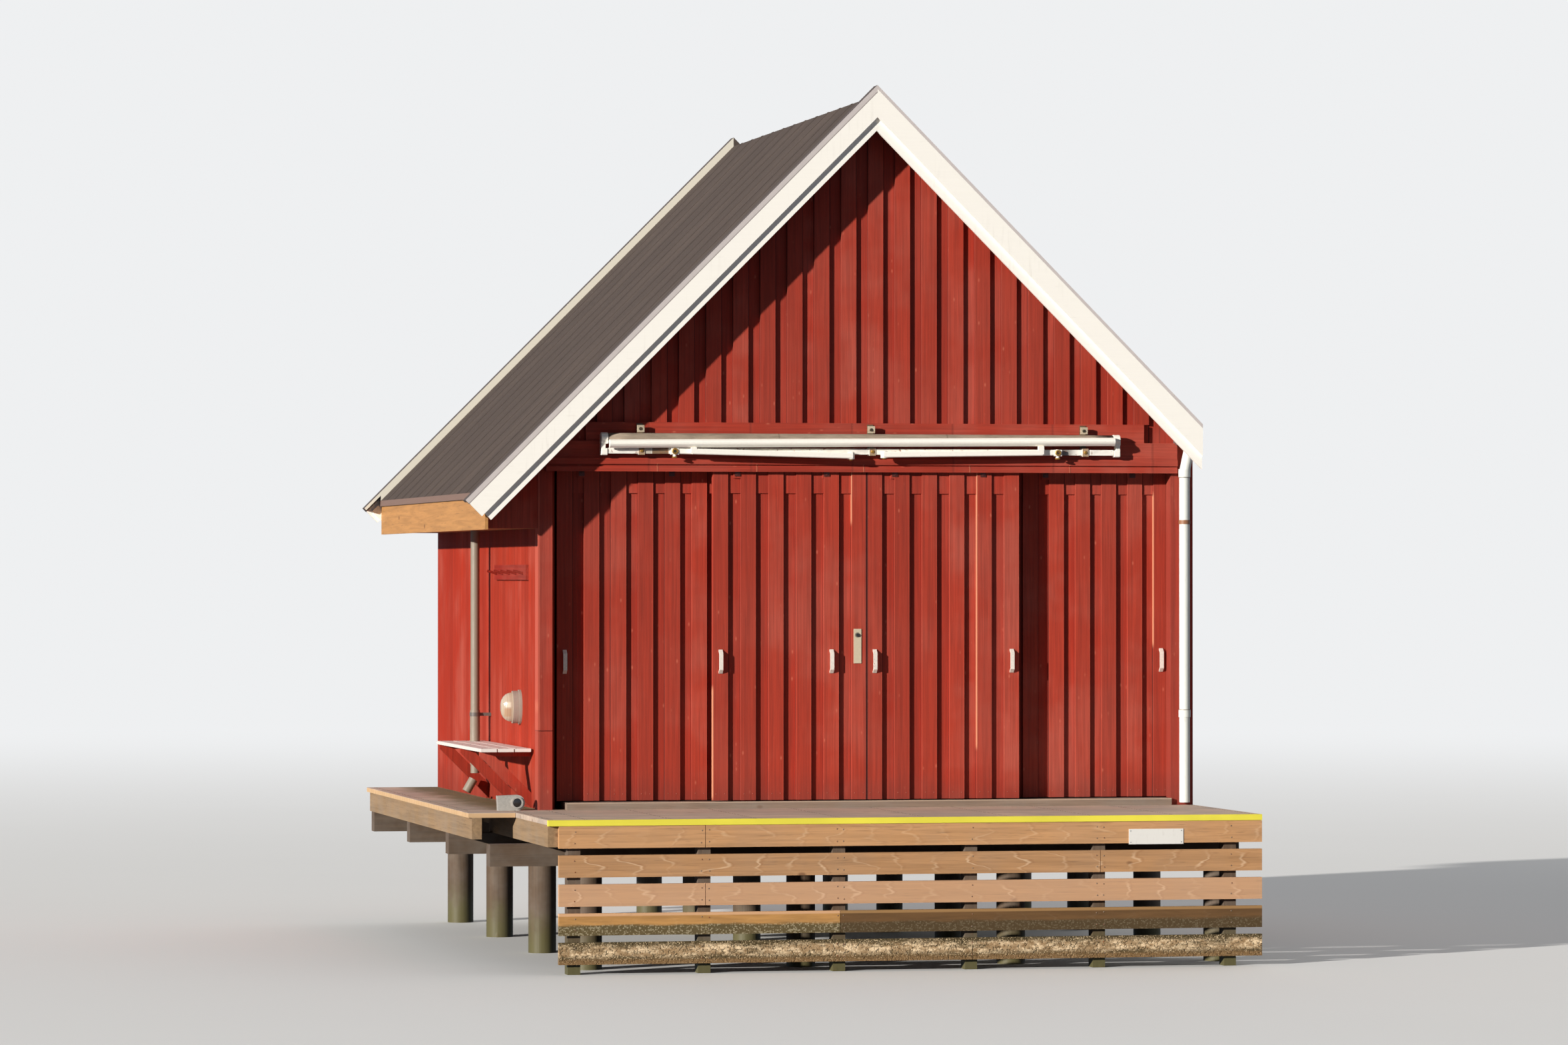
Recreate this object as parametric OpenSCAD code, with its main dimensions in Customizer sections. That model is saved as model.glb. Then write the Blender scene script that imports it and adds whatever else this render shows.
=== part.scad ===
// Gabled timber boathouse on its own stretch of piled quay, with four sliding boat doors.
// Lengths are in millimetres. The house is drawn with x = 0 on the ridge line, y = 0 on the
// outer face of the front corner posts (+y runs into the house) and z = 0 on the deck, and
// place() then moves it so that the origin is at the pile feet, centred under the part.

/* [House] */
// Half width of the house, from the ridge line to the outside of a side wall
half_w = 2400; // [2300:10:2500]
// Depth of the house, front corner posts to back cladding
house_d = 4700; // [4400:10:5000]
// Height of the roof covering at the ridge, above the deck
ridge_h = 5075; // [4950:5:5150]
// Thickness of a side wall with its cladding
side_t = 138; // [135:1:140]
// Distance of the left door jamb from the ridge line
jamb_left = 2295; // [2270:5:2300]
// Distance of the right door jamb from the ridge line
jamb_right = 2235; // [2225:5:2240]
// Vertical thickness of the roof boards and felt
roof_t = 45; // [35:5:60]
// How far the roof stands out past the front and back walls
verge = 222; // [180:2:260]
// How far the left eave stands out from the ridge line
eave_x = 2830; // [2800:5:2860]
// Number of laps in the roofing felt
laps = 12; // [6:1:16]

/* [Cladding] */
// Width of a cover board
cover_w = 110; // [95:5:125]
// Thickness of a cover board
cover_t = 25; // [18:1:28]
// Spacing of the cover boards, centre to centre
cover_pitch = 197; // [185:1:210]

/* [Doors] */
// Height of the doors' feet above the deck
leaf_z0 = 58; // [56:1:70]
// Height of the doors' tops above the deck
leaf_z1 = 2408; // [2400:1:2412]
// Width of a front door leaf
front_leaf_w = 1120; // [1100:1:1122]
// Width of a rear door leaf
rear_leaf_w = 1280; // [1240:1:1282]
// Distance between the faces of the front and the rear leaves
leaf_step = 130; // [125:1:140]
// Diameter of a hanger wheel over its flanges
wheel_d = 84; // [76:2:88]
// Height of the top edge of the rails above the deck
rail_top = 2476; // [2470:1:2480]

/* [Awning] */
// Diameter of the rolled cloth
roll_d = 76; // [70:2:78]
// Height of the rolled cloth's axis above the deck
roll_z = 2629; // [2626:1:2632]

/* [Quay] */
// Height of the deck above the pile feet
deck_h = 1050; // [900:10:1200]
// Depth of the open deck in front of the doors
apron_d = 1700; // [1400:10:1900]
// Thickness of the deck planks
plank_t = 34; // [28:1:45]
// Diameter of a round pile
pile_d = 200; // [160:10:240]
// Height of a fender board
fender_h = 150; // [140:1:160]
// Spacing of the fender boards
fender_pitch = 197; // [190:1:200]

/* [Hidden] */

// overall box of the house and quay, used only to centre the part
left_x = -2960;
front_y = -apron_d - 45;
back_y = house_d + 270;
shift = [-(left_x + half_w) / 2, -(front_y + back_y) / 2, deck_h];

under = ridge_h - roof_t;      // underside of the roof boards at the ridge
raft_v = 170;                  // rafter depth measured plumb
inner = half_w - side_t;       // inside face of the side walls
gutter_z = 2600;               // top of the right wall, where the valley gutter lies
head_z = 2600;                 // underside of the gable wall
cap_top = ridge_h + 70;        // top of the verge caps at the ridge
exposed = 2300;                // length of the left wall that stands free

red = [0.65, 0.21, 0.16];
dark_red = [0.42, 0.12, 0.10];
cream = [0.97, 0.94, 0.87];
grey_wood = [0.56, 0.49, 0.44];
steel = [0.45, 0.43, 0.42];

module place() {
    translate(shift) children();
}

// a flat outline drawn in x and z, given its thickness along y from y0 to y1
module across(y0, y1) {
    translate([0, y1, 0])
        rotate([90, 0, 0])
            linear_extrude(height = y1 - y0)
                children();
}

// a flat outline drawn in y and z, given its length along x from x0 to x1
module along(x0, x1) {
    translate([x0, 0, 0])
        rotate([90, 0, 90])
            linear_extrude(height = x1 - x0)
                children();
}

module box(a, b) {
    translate(a)
        cube([b[0] - a[0], b[1] - a[1], b[2] - a[2]]);
}

// The quay

post_x = [-2440, -1540, -600, 330, 1240, 2180];
pile_x = [-2250, -750, 750, 2250];
pile_y = [-1150, 700, 2600, 4500];

module piles() {
    color([0.30, 0.26, 0.22])
        place()
            for (x = pile_x, y = pile_y)
                translate([x, y, -deck_h])
                    cylinder(d = pile_d, h = deck_h - plank_t - 300, $fn = 32);
}

module front_posts() {
    color([0.36, 0.30, 0.24])
        place()
            for (x = post_x)
                box([x - 43, -apron_d, -deck_h], [x + 43, -apron_d + 120, -plank_t]);
}

module bearers() {
    color([0.38, 0.32, 0.26])
        place()
            for (y = pile_y)
                box([-2940, y - 75, -plank_t - 300], [2385, y + 75, -plank_t - 150]);
}

module joists() {
    color([0.42, 0.35, 0.28])
        place()
            for (x = [-2900, -2350, -1770, -1180, -590, 0, 590, 1180, 1770, 2350])
                box([x - 35, x < -2600 ? -400 : -apron_d + 120, -plank_t - 150],
                    [x + 35, house_d, -plank_t]);
    // short joist under the left end of the open deck
    color([0.66, 0.55, 0.42])
        place()
            box([-2620, -apron_d, -plank_t - 150], [-2550, 800, -plank_t]);
}

module planks(x0, x1, y0, y1, n, gap) {
    pitch = (y1 - y0) / n;
    for (i = [0 : n - 1])
        box([x0, y0 + i * pitch + (i == 0 ? 0 : gap / 2), -plank_t],
            [x1, y0 + (i + 1) * pitch - (i == n - 1 ? 0 : gap / 2), 0]);
}

module apron_planks() {
    color(grey_wood)
        place()
            planks(-2625, half_w, -apron_d, 0, 14, 8);
    // nosing over the fender boards, painted yellow
    color([0.92, 0.86, 0.24])
        place()
            box([-2625, front_y, -40], [half_w, -apron_d, 0]);
}

module side_planks() {
    color(grey_wood)
        place() {
            planks(left_x, -2628, -400, 0, 3, 8);
            planks(left_x, -half_w - 2, 0, house_d, 39, 8);
        }
}

module floor() {
    color([0.50, 0.42, 0.33])
        place()
            planks(-half_w, half_w, 0, house_d, 34, 4);
}

module fender_boards() {
    // butt joints of the five rows, counted from the top
    joints = [-1540, 1240, -1540, -600, 330];
    color([0.74, 0.58, 0.41])
        place()
            for (i = [0 : 4]) {
                top = -42 - i * fender_pitch;
                box([-2550, front_y + 5, top - fender_h], [joints[i] - 2, -apron_d, top]);
                box([joints[i] + 2, front_y + 5, top - fender_h], [half_w, -apron_d, top]);
            }
}

module threshold() {
    color([0.55, 0.52, 0.50])
        place()
            box([-2196, -30, 0], [jamb_right - 2, 235, 50]);
}

// The walls

module wall_left() {
    // the front part is clad; behind it the wall is a plain party wall
    color(red)
        place() {
            across(120, exposed)
                polygon([[-half_w + cover_t, 0], [-inner, 0], [-inner, under - inner],
                    [-half_w + cover_t, under - half_w + cover_t]]);
            across(exposed, house_d - cover_t)
                polygon([[-half_w, 0], [-inner, 0], [-inner, under - inner],
                    [-half_w, under - half_w]]);
        }
}

module wall_right() {
    color(red)
        place()
            box([inner, 120, 0], [half_w, house_d - cover_t, gutter_z]);
}

module wall_back() {
    color(red)
        place()
            across(house_d - side_t, house_d - cover_t)
                polygon([[-inner, 0], [inner, 0], [inner, under - inner], [0, under],
                    [-inner, under - inner]]);
}

module wall_front() {
    color(red)
        place()
            across(cover_t, 120)
                polygon([[-half_w + 1, head_z], [inner, head_z], [inner, under - inner],
                    [0, under], [-half_w + 1, under - half_w + 1]]);
}

module corner_post_left() {
    color(red)
        place()
            box([-half_w + cover_t, cover_t, 0], [-jamb_left, 120, head_z]);
}

module corner_post_right() {
    color(red)
        place()
            box([jamb_right, cover_t, 0], [half_w, 120, head_z]);
}

module corner_boards() {
    color(red)
        place() {
            // the left board is pieced together near its foot
            box([-half_w, 0, 560], [-jamb_left - 2, cover_t, 2590]);
            box([-half_w, 0, 0], [-jamb_left - 2, cover_t, 556]);
            box([jamb_right, 0, 0], [half_w, cover_t, 2590]);
            box([-half_w, cover_t, 0], [-half_w + cover_t, 128, 1990]);
        }
}

// height of the roof boards' underside over a point of the gable
function gable_top(x) = under - abs(x);

// one cover board of a gable, cut to the roof slope at its top
module gable_board(a, zb) {
    b = a + cover_w;
    polygon(a < 0 && b > 0
        ? [[a, zb], [b, zb], [b, gable_top(b)], [0, gable_top(0)], [a, gable_top(a)]]
        : [[a, zb], [b, zb], [b, gable_top(b)], [a, gable_top(a)]]);
}

module boards_front() {
    // the boards end on the awning's mounting board, and beside it on the door head
    color(red)
        place()
            across(0, cover_t)
                for (i = [-12 : 10])
                    if (i * cover_pitch > -2370)
                        gable_board(48 - cover_w / 2 + i * cover_pitch,
                            i < -10 ? 2612 : 2745);
}

module boards_back() {
    color(red)
        place() {
            across(house_d - cover_t, house_d)
                for (i = [-11 : 11])
                    if (abs(i) * cover_pitch + cover_w / 2 < inner)
                        gable_board(-cover_w / 2 + i * cover_pitch, 20);
            for (s = [-1, 1])
                box([s < 0 ? -half_w : half_w - 105, house_d - cover_t, 0],
                    [s < 0 ? -half_w + 105 : half_w, house_d, s < 0 ? 1990 : gutter_z]);
        }
}

module boards_left() {
    // laid close, with narrow open joints
    n = 15;
    pitch = (exposed - 132) / n;
    color(red)
        place()
            for (i = [0 : n - 1])
                box([-half_w, 132 + i * pitch, 20],
                    [-half_w + cover_t, 128 + (i + 1) * pitch, 1990]);
}

// The roof

module roof_left() {
    color([0.37, 0.33, 0.30])
        place()
            across(-verge, house_d + verge)
                polygon([[0, ridge_h], [0, under], [-eave_x, under - eave_x],
                    [-eave_x, ridge_h - eave_x]]);
}

module roof_right() {
    color([0.37, 0.33, 0.30])
        place()
            across(-verge, house_d + verge)
                polygon([[0, ridge_h], [0, under], [inner + 12, under - inner - 12],
                    [inner + 12, ridge_h - inner - 12]]);
}

module roof_seams() {
    // laps where one strip of felt covers the next, from the ridge down each slope
    color([0.33, 0.29, 0.27])
        place()
            for (i = [1 : laps]) {
                y = -verge + i * (house_d + 2 * verge) / (laps + 1);
                across(y - 30, y + 30)
                    polygon([[0, ridge_h], [-eave_x, ridge_h - eave_x],
                        [-eave_x, ridge_h - eave_x + 3], [0, ridge_h + 3],
                        [inner + 12, ridge_h - inner - 12 + 3],
                        [inner + 12, ridge_h - inner - 12]]);
            }
}

module ridge_beam() {
    color([0.66, 0.52, 0.36])
        place()
            across(120, house_d - side_t)
                polygon([[-30, under - 30], [0, under], [30, under - 30], [30, 4780],
                    [-30, 4780]]);
}

raft_y = [400, 1030, 1660, 2290, 2920, 3550, 4180];

module rafter(s) {
    polygon([[s * 30, under - 30], [s * inner, under - inner],
        [s * inner, under - raft_v - inner], [s * 30, under - raft_v - 30]]);
}

module rafters() {
    color([0.68, 0.54, 0.38])
        place()
            for (y = raft_y, s = [-1, 1])
                across(y, y + 45)
                    rafter(s);
}

module collar_ties() {
    color([0.70, 0.56, 0.40])
        place()
            for (y = raft_y)
                across(y + 45, y + 80)
                    polygon([[-1725, 3300], [1725, 3300], [1605, 3420], [-1605, 3420]]);
}

// one sloping board of a gable: top and bottom lines are plumb heights at the ridge
module sloping_board(top, bottom, left_cut) {
    w = top - bottom;
    polygon([[0, top], [0, bottom], [-left_cut + w / 2, bottom - left_cut + w / 2],
        [-left_cut, top - left_cut]]);
    polygon([[0, top], [0, bottom], [half_w, bottom - half_w], [half_w, top - half_w]]);
}

module bargeboards(y0, y1, y2) {
    color(cream)
        place() {
            across(min(y0, y1), max(y0, y1))
                sloping_board(cap_top - 54, cap_top - 229, 2930);
            across(min(y1, y2), max(y1, y2))
                sloping_board(cap_top - 92, cap_top - 323, 2890);
        }
}

module bargeboards_front() {
    bargeboards(-270, -246, -verge);
}

module bargeboards_back() {
    bargeboards(house_d + 270, house_d + 246, house_d + verge);
}

module verge_caps() {
    color([0.45, 0.40, 0.36])
        place()
            for (back = [0, 1]) {
                y0 = back == 0 ? -270 : house_d + 150;
                y1 = back == 0 ? -150 : house_d + 270;
                across(y0, y1)
                    polygon([[0, cap_top], [0, cap_top - 30], [-2945, cap_top - 30 - 2945],
                        [-2960, cap_top - 2960]]);
                across(y0, y1)
                    polygon([[0, cap_top], [0, cap_top - 30], [half_w, cap_top - 30 - half_w],
                        [half_w, cap_top - half_w]]);
                // the outer edge is turned down over the bargeboard
                e0 = back == 0 ? -270 : house_d + 246;
                across(e0, e0 + 24)
                    polygon([[0, cap_top - 20], [0, cap_top - 54],
                        [-2933, cap_top - 54 - 2933], [-2950, cap_top - 20 - 2950]]);
                across(e0, e0 + 24)
                    polygon([[0, cap_top - 20], [0, cap_top - 54],
                        [half_w, cap_top - 54 - half_w], [half_w, cap_top - 20 - half_w]]);
                // batten that lifts the cap off the felt
                b0 = back == 0 ? -verge : house_d + 150;
                b1 = back == 0 ? -150 : house_d + verge;
                across(b0, b1)
                    polygon([[0, cap_top - 30], [0, ridge_h], [-eave_x, ridge_h - eave_x],
                        [-eave_x, cap_top - 30 - eave_x]]);
                across(b0, b1)
                    polygon([[0, cap_top - 30], [0, ridge_h],
                        [inner + 12, ridge_h - inner - 12],
                        [inner + 12, cap_top - 30 - inner - 12]]);
            }
}

module eave_fascia() {
    color([0.82, 0.62, 0.38])
        place()
            across(-verge, house_d + verge)
                polygon([[-2815, 1980], [-2793, 1980], [-2793, under - 2793],
                    [-2815, under - 2815]]);
}

module eave_soffit() {
    color([0.80, 0.68, 0.50])
        place() {
            box([-2793, 0, 1990], [-half_w, house_d, 2010]);
            // ends that close the eave box, in line with the gables
            for (y = [0, house_d - 20])
                across(y, y + 20)
                    polygon([[-2793, 2010], [-half_w, 2010], [-half_w, under - half_w],
                        [-2793, under - 2793]]);
        }
}

module valley_gutter() {
    color([0.62, 0.62, 0.60])
        place()
            across(-verge, house_d + verge)
                polygon([[inner, gutter_z], [half_w, gutter_z], [half_w, gutter_z + 60],
                    [half_w - 6, gutter_z + 60], [half_w - 6, gutter_z + 6],
                    [inner + 6, gutter_z + 6], [inner + 6, under - inner - 6],
                    [inner, under - inner]]);
}

// The rainwater pipes

// a bend in a pipe: it starts upright at the origin and turns towards +x, going down
module bend(r, turn, d) {
    translate([r, 0, 0])
        rotate([90, 0, 0])
            rotate_extrude(angle = turn, $fn = 72)
                translate([-r, 0])
                    circle(d = d, $fn = 32);
}

module downpipe_right() {
    x = 2323;
    y = -54;
    color([0.96, 0.95, 0.92])
        place() {
            translate([x, y, 20])
                cylinder(d = 76, h = 2400, $fn = 40);
            // sleeve joint, collar under the bend and outlet up to the gutter
            translate([x, y, 635])
                cylinder(d = 86, h = 55, $fn = 40);
            translate([x, y, 2365])
                cylinder(d = 86, h = 60, $fn = 40);
            translate([x, y, 2405])
                rotate([0, 12, 0])
                    cylinder(d = 76, h = 190, $fn = 40);
            // clip round the pipe, held on the corner board
            translate([x, y, 2030])
                cylinder(d = 84, h = 26, $fn = 40);
            box([x - 8, y + 30, 2030], [x + 8, 0, 2056]);
        }
}

module downpipe_left() {
    x = -2520;
    y = 2080;
    color([0.59, 0.55, 0.51])
        place() {
            translate([x, y, 195])
                cylinder(d = 66, h = 1795, $fn = 36);
            translate([x, y, 260])
                cylinder(d = 74, h = 400, $fn = 36);
            // clip that holds the pipe to the wall
            translate([x, y, 618])
                cylinder(d = 80, h = 24, $fn = 36);
            box([x + 30, y - 8, 618], [-half_w, y + 8, 642]);
            // outlet: an easy bend that turns it away from the wall
            translate([x, y, 195])
                mirror([1, 0, 0])
                    bend(90, -30, 66);
            translate([x - 90 + 90 * cos(30), y, 195 - 90 * sin(30)])
                rotate([0, 30, 0])
                    translate([0, 0, -105])
                        cylinder(d = 66, h = 105, $fn = 36);
        }
}

// The door track

module header_boards() {
    // the cover in front of the rails is two strips with a shadow groove between them
    color(red)
        place() {
            along(-2350, 2275)
                polygon([[-42, 2395], [-20, 2395], [-20, 2600], [-34, 2600], [-34, 2490],
                    [-48, 2490], [-48, 2446], [-32, 2446], [-32, 2430], [-42, 2430]]);
            box([-2350, -20, 2395], [-2335, 0, 2590]);
            box([2250, -20, 2395], [2275, 0, 2590]);
            // board that closes the track off from above
            box([-2350, -34, 2590], [inner - 2, cover_t, 2612]);
            // board that the awning hangs on
            box([-2062, -22, 2612], [2030, cover_t, 2745]);
        }
}

module header_beams() {
    color([0.62, 0.48, 0.34])
        place() {
            box([-jamb_left, 45, 2432], [jamb_right, 110, head_z]);
            box([-inner, 205, 2432], [inner, 250, head_z]);
        }
}

module door_rails() {
    // flat bars on edge, each held off its beam by round distance pieces
    color(steel)
        place()
            for (y = [0, leaf_step]) {
                box([-2250, y + 14, rail_top - 44], [y == 0 ? 2230 : 2250, y + 20, rail_top]);
                for (x = [-2000 : 500 : 2000])
                    translate([x, y + 20, rail_top - 24])
                        rotate([-90, 0, 0])
                            cylinder(d = 22, h = y == 0 ? 25 : 205 - leaf_step - 20, $fn = 24);
            }
}

// The door leaves

// a ledged and braced door leaf, seen from outside with its left edge at x = 0; the straps
// of its hangers are bolted at the places in at
module leaf_body(w, n, at) {
    step = (w - cover_w) / (n - 1);
    // upright boards, cover boards and the rail that shows between them at the top
    box([0, cover_t, leaf_z0], [w, cover_t + 22, leaf_z1]);
    for (i = [0 : n - 1])
        box([i * step, 0, leaf_z0], [i * step + cover_w, cover_t, leaf_z1]);
    box([0, 13, 2243], [w, cover_t, leaf_z1]);
    for (x = at)
        box([x - 30, 0, 2350], [x + 30, cover_t, leaf_z1]);
    // ledges and braces on the back
    for (z = [120, 1150, 2180])
        box([20, cover_t + 22, z], [w - 20, 70, z + 130]);
    for (z = [250, 1280])
        across(cover_t + 22, 70)
            polygon([[20, z], [150, z], [w - 20, z + 900], [w - 150, z + 900]]);
}

// bow pull handle of flat steel, bent off the leaf's face
module pull(x, z) {
    translate([0, 0, z])
        along(x - 14, x + 14)
            polygon([[0, 0], [-4, 0], [-32, 26], [-32, 144], [-4, 170], [0, 170], [0, 156],
                [-2, 156], [-22, 138], [-22, 32], [-2, 14], [0, 14]]);
}

axle_z = rail_top + wheel_d / 2 - 6.7;

// strap bolted to the leaf's face with a foot on its top edge, and the wheel's axle
module hanger(x) {
    box([x - 20, -6, 2364], [x + 20, 0, axle_z]);
    box([x - 34, 0, leaf_z1], [x + 34, 60, leaf_z1 + 6]);
    translate([x, 0, axle_z])
        rotate([90, 0, 0])
            cylinder(d = 40, h = 6, $fn = 32);
    // axle, distance collar and nut
    translate([x, 33, axle_z])
        rotate([90, 0, 0])
            cylinder(d = 12, h = 44, $fn = 32);
    translate([x, 4.5, axle_z])
        rotate([90, 0, 0])
            cylinder(d = 20, h = 4.5, $fn = 32);
    translate([x, 33, axle_z])
        rotate([90, 0, 0])
            cylinder(d = 22, h = 3.5, $fn = 6);
    // bolt through the leaf
    translate([x, -6, 2382])
        rotate([90, 0, 0])
            cylinder(d = 18, h = 5, $fn = 6);
}

module grooved_wheel() {
    rotate([-90, 0, 0])
        rotate_extrude($fn = 64)
            polygon([[6.15, 0], [wheel_d / 2, 0], [wheel_d / 2, 4], [wheel_d / 2 - 7, 8],
                [wheel_d / 2 - 7, 16], [wheel_d / 2, 20], [wheel_d / 2, 24], [6.15, 24]]);
}

// left edge of each leaf, and its hangers measured from there
fl_x = -20 - front_leaf_w;
fr_x = -16;
rl_x = -962 - rear_leaf_w;
rr_x = 972;
fl_h = [178, 828];
fr_h = [204, 854];
rl_h = [177, 829];
rr_h = [363, 1013];

module leaf_front_left() {
    color(red)
        place()
            translate([fl_x, 0, 0])
                leaf_body(front_leaf_w, 6, fl_h);
}

module leaf_front_right() {
    color(red)
        place()
            translate([fr_x, 0, 0])
                leaf_body(front_leaf_w, 6, fr_h);
}

module leaf_rear_left() {
    color(red)
        place()
            translate([rl_x, leaf_step, 0])
                leaf_body(rear_leaf_w, 7, rl_h);
}

module leaf_rear_right() {
    color(red)
        place()
            translate([rr_x, leaf_step, 0])
                leaf_body(rear_leaf_w, 7, rr_h);
}

module hangers(x0, y0, at, pulls) {
    color(steel)
        place()
            translate([x0, y0, 0]) {
                for (x = at)
                    hanger(x);
                for (x = pulls)
                    pull(x, 960);
            }
}

module wheel(x, y0) {
    color([0.30, 0.29, 0.29])
        place()
            translate([x, y0 + 5, axle_z])
                grooved_wheel();
}

module wheel_front_left_a() wheel(fl_x + fl_h[0], 0);

module wheel_front_left_b() wheel(fl_x + fl_h[1], 0);

module wheel_front_right_a() wheel(fr_x + fr_h[0], 0);

module wheel_front_right_b() wheel(fr_x + fr_h[1], 0);

module wheel_rear_left_a() wheel(rl_x + rl_h[0], leaf_step);

module wheel_rear_left_b() wheel(rl_x + rl_h[1], leaf_step);

module wheel_rear_right_a() wheel(rr_x + rr_h[0], leaf_step);

module wheel_rear_right_b() wheel(rr_x + rr_h[1], leaf_step);

module hangers_front_left() {
    hangers(fl_x, 0, fl_h, [55, 863]);
    // lock case on the meeting edge, with its turn knob
    color([0.25, 0.24, 0.24])
        place() {
            box([fl_x + 1025, -5, 1030], [fl_x + 1081, 0, 1276]);
            translate([fl_x + 1053, -5, 1232])
                rotate([90, 0, 0])
                    cylinder(d = 24, h = 9, $fn = 32);
        }
}

module hangers_front_right() {
    hangers(fr_x, 0, fr_h, [55, 1065]);
}

module hangers_rear_left() {
    hangers(rl_x, leaf_step, rl_h, [55]);
}

module hangers_rear_right() {
    hangers(rr_x, leaf_step, rr_h, [1225]);
}

// The awning

aw_l = -1915;                  // inside faces of the awning's end plates
aw_r = 1780;
bar_tilt = 0.466;              // the front bar hangs lower at its left end

// height of the front bar's underside
function bar_under(x) = 2589 - (aw_r - 2 - x) * tan(bar_tilt);

module awning_cassette() {
    color(cream)
        place() {
            translate([aw_l, -76, roll_z])
                rotate([0, 90, 0])
                    cylinder(d = roll_d, h = aw_r - aw_l, $fn = 48);
            // front bar with a drip lip
            translate([aw_r - 2, 0, 2589])
                rotate([0, -bar_tilt, 0])
                    along(aw_l - aw_r + 6, 0)
                        polygon([[-124, 0], [-146, 0], [-163, 14], [-170, 26], [-170, 34],
                            [-163, 48], [-148, 59], [-128, 59], [-118, 47], [-118, 31],
                            [-128, 31], [-128, 11], [-124, 11]]);
            for (x = [aw_l - 50, aw_r])
                along(x, x + 50)
                    polygon([[-42, 2508], [-100, 2508], [-106, 2514], [-108, 2600],
                        [-117, 2618], [-118, 2638], [-108, 2658], [-90, 2669],
                        [-64, 2669], [-42, 2656]]);
        }
}

// one link of a folding arm, from x = 0 along +x
module link(len) {
    along(0, len)
        polygon([[-14, -15], [-9, -20], [9, -20], [14, -15], [14, 15], [9, 20], [-9, 20],
            [-14, 15]]);
}

// a folded arm: the shoulder is at the outer end, the elbow towards the middle; top gives
// the height of the front bar's underside over each side of the knuckle
module folded_arm(len, droop, top) {
    // rear link and its shoulder on the torsion bar
    translate([0, -119, 2539])
        rotate([0, droop, 0])
            link(len);
    box([-28, -135, 2514], [28, -100, 2559]);
    translate([0, -119, 2500])
        cylinder(d = 26, h = 61, $fn = 32);
    // front link, with the knuckle that carries the front bar
    translate([120, -151, 2539 - 120 * tan(droop)])
        rotate([0, droop, 0])
            link(len - 120);
    across(-165, -137)
        polygon([[112, 2525], [152, 2525], [152, top[1]], [112, top[0]]]);
    // elbow
    translate([len - 8, -135, 2539 - len * tan(droop) - 24])
        cylinder(d = 50, h = 48, $fn = 36);
}

module awning_arms() {
    color(cream)
        place() {
            translate([-1440, 0, 0])
                folded_arm(1284, 1.3, [bar_under(-1328), bar_under(-1288)]);
            translate([1360, 0, 0])
                mirror([1, 0, 0])
                    folded_arm(1290, 0.9, [bar_under(1248), bar_under(1208)]);
        }
}

module awning_brackets() {
    color(steel)
        place() {
            // torsion bar
            box([aw_l, -100, 2520], [aw_r, -60, 2560]);
            for (x = [-1675, 0, 1570]) {
                along(x - 22, x + 22)
                    difference() {
                        polygon([[-22, 2735], [-28, 2735], [-28, 2706], [-60, 2706],
                            [-60, 2690], [-28, 2690], [-28, 2622], [-38, 2615],
                            [-38, 2568], [-106, 2568], [-106, 2512], [-34.5, 2512],
                            [-34.5, 2613.5], [-22, 2619]]);
                        translate([-100, 2520])
                            square([40, 40]);
                    }
                box([x - 25, -76, 2673], [x + 25, -56, 2723]);
            }
        }
}

// The bench, lamp and small fittings

module bench_seat() {
    // three slats; the inner one is notched round the rainwater pipe
    color(cream)
        place()
            difference() {
                for (i = [0 : 2])
                    box([-2780 + i * 123, 170, 406], [-2780 + i * 123 + 113, 2255, 430]);
                translate([-2520, 2080, 400])
                    cylinder(d = 84, h = 40, $fn = 40);
            }
}

module bench_brackets() {
    color(red)
        place()
            for (y = [300, 1190, 2180]) {
                box([-2770, y - 22, 372], [-half_w, y + 22, 406]);
                across(y - 22, y + 22)
                    polygon([[-2765, 372], [-2660, 372], [-half_w, 112], [-half_w, 8]]);
            }
}

function oval(a, b, n) = [for (i = [0 : n - 1]) [a * cos(360 * i / n), b * sin(360 * i / n)]];

module wall_lamp() {
    // oval bulkhead lamp: back plate, rim and domed glass
    color([0.85, 0.85, 0.82])
        place()
            translate([-half_w, 750, 712])
                rotate([0, -90, 0]) {
                    linear_extrude(height = 16)
                        polygon(oval(125, 88, 40));
                    linear_extrude(height = 62)
                        polygon(oval(117, 80, 40));
                    hull()
                        for (k = [0 : 5])
                            translate([0, 0, 62 + 82 * sin(k * 17)])
                                linear_extrude(height = 1)
                                    polygon(oval(106 * cos(k * 15), 69 * cos(k * 15), 32));
                }
}

module hook_board() {
    color(dark_red)
        place() {
            box([-half_w - 22, 400, 1625], [-half_w, 1800, 1735]);
            for (y = [520 : 290 : 1680])
                translate([-half_w - 22, y, 1672])
                    rotate([0, -75, 0])
                        cylinder(d = 18, h = 75, $fn = 24);
        }
}

module deck_light() {
    // weatherproof lamp box on the deck, with a round lens at its right end
    color([0.50, 0.50, 0.50])
        place() {
            across(-40, 25) {
                polygon([[-2690, 0], [-2556, 0], [-2556, 110], [-2696, 104]]);
                translate([-2556, 55])
                    circle(d = 110, $fn = 48);
            }
            translate([-2556, -40, 55])
                rotate([90, 0, 0])
                    difference() {
                        cylinder(d = 84, h = 14, $fn = 48);
                        translate([0, 0, 6])
                            cylinder(d = 62, h = 20, $fn = 48);
                    }
        }
}

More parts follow.
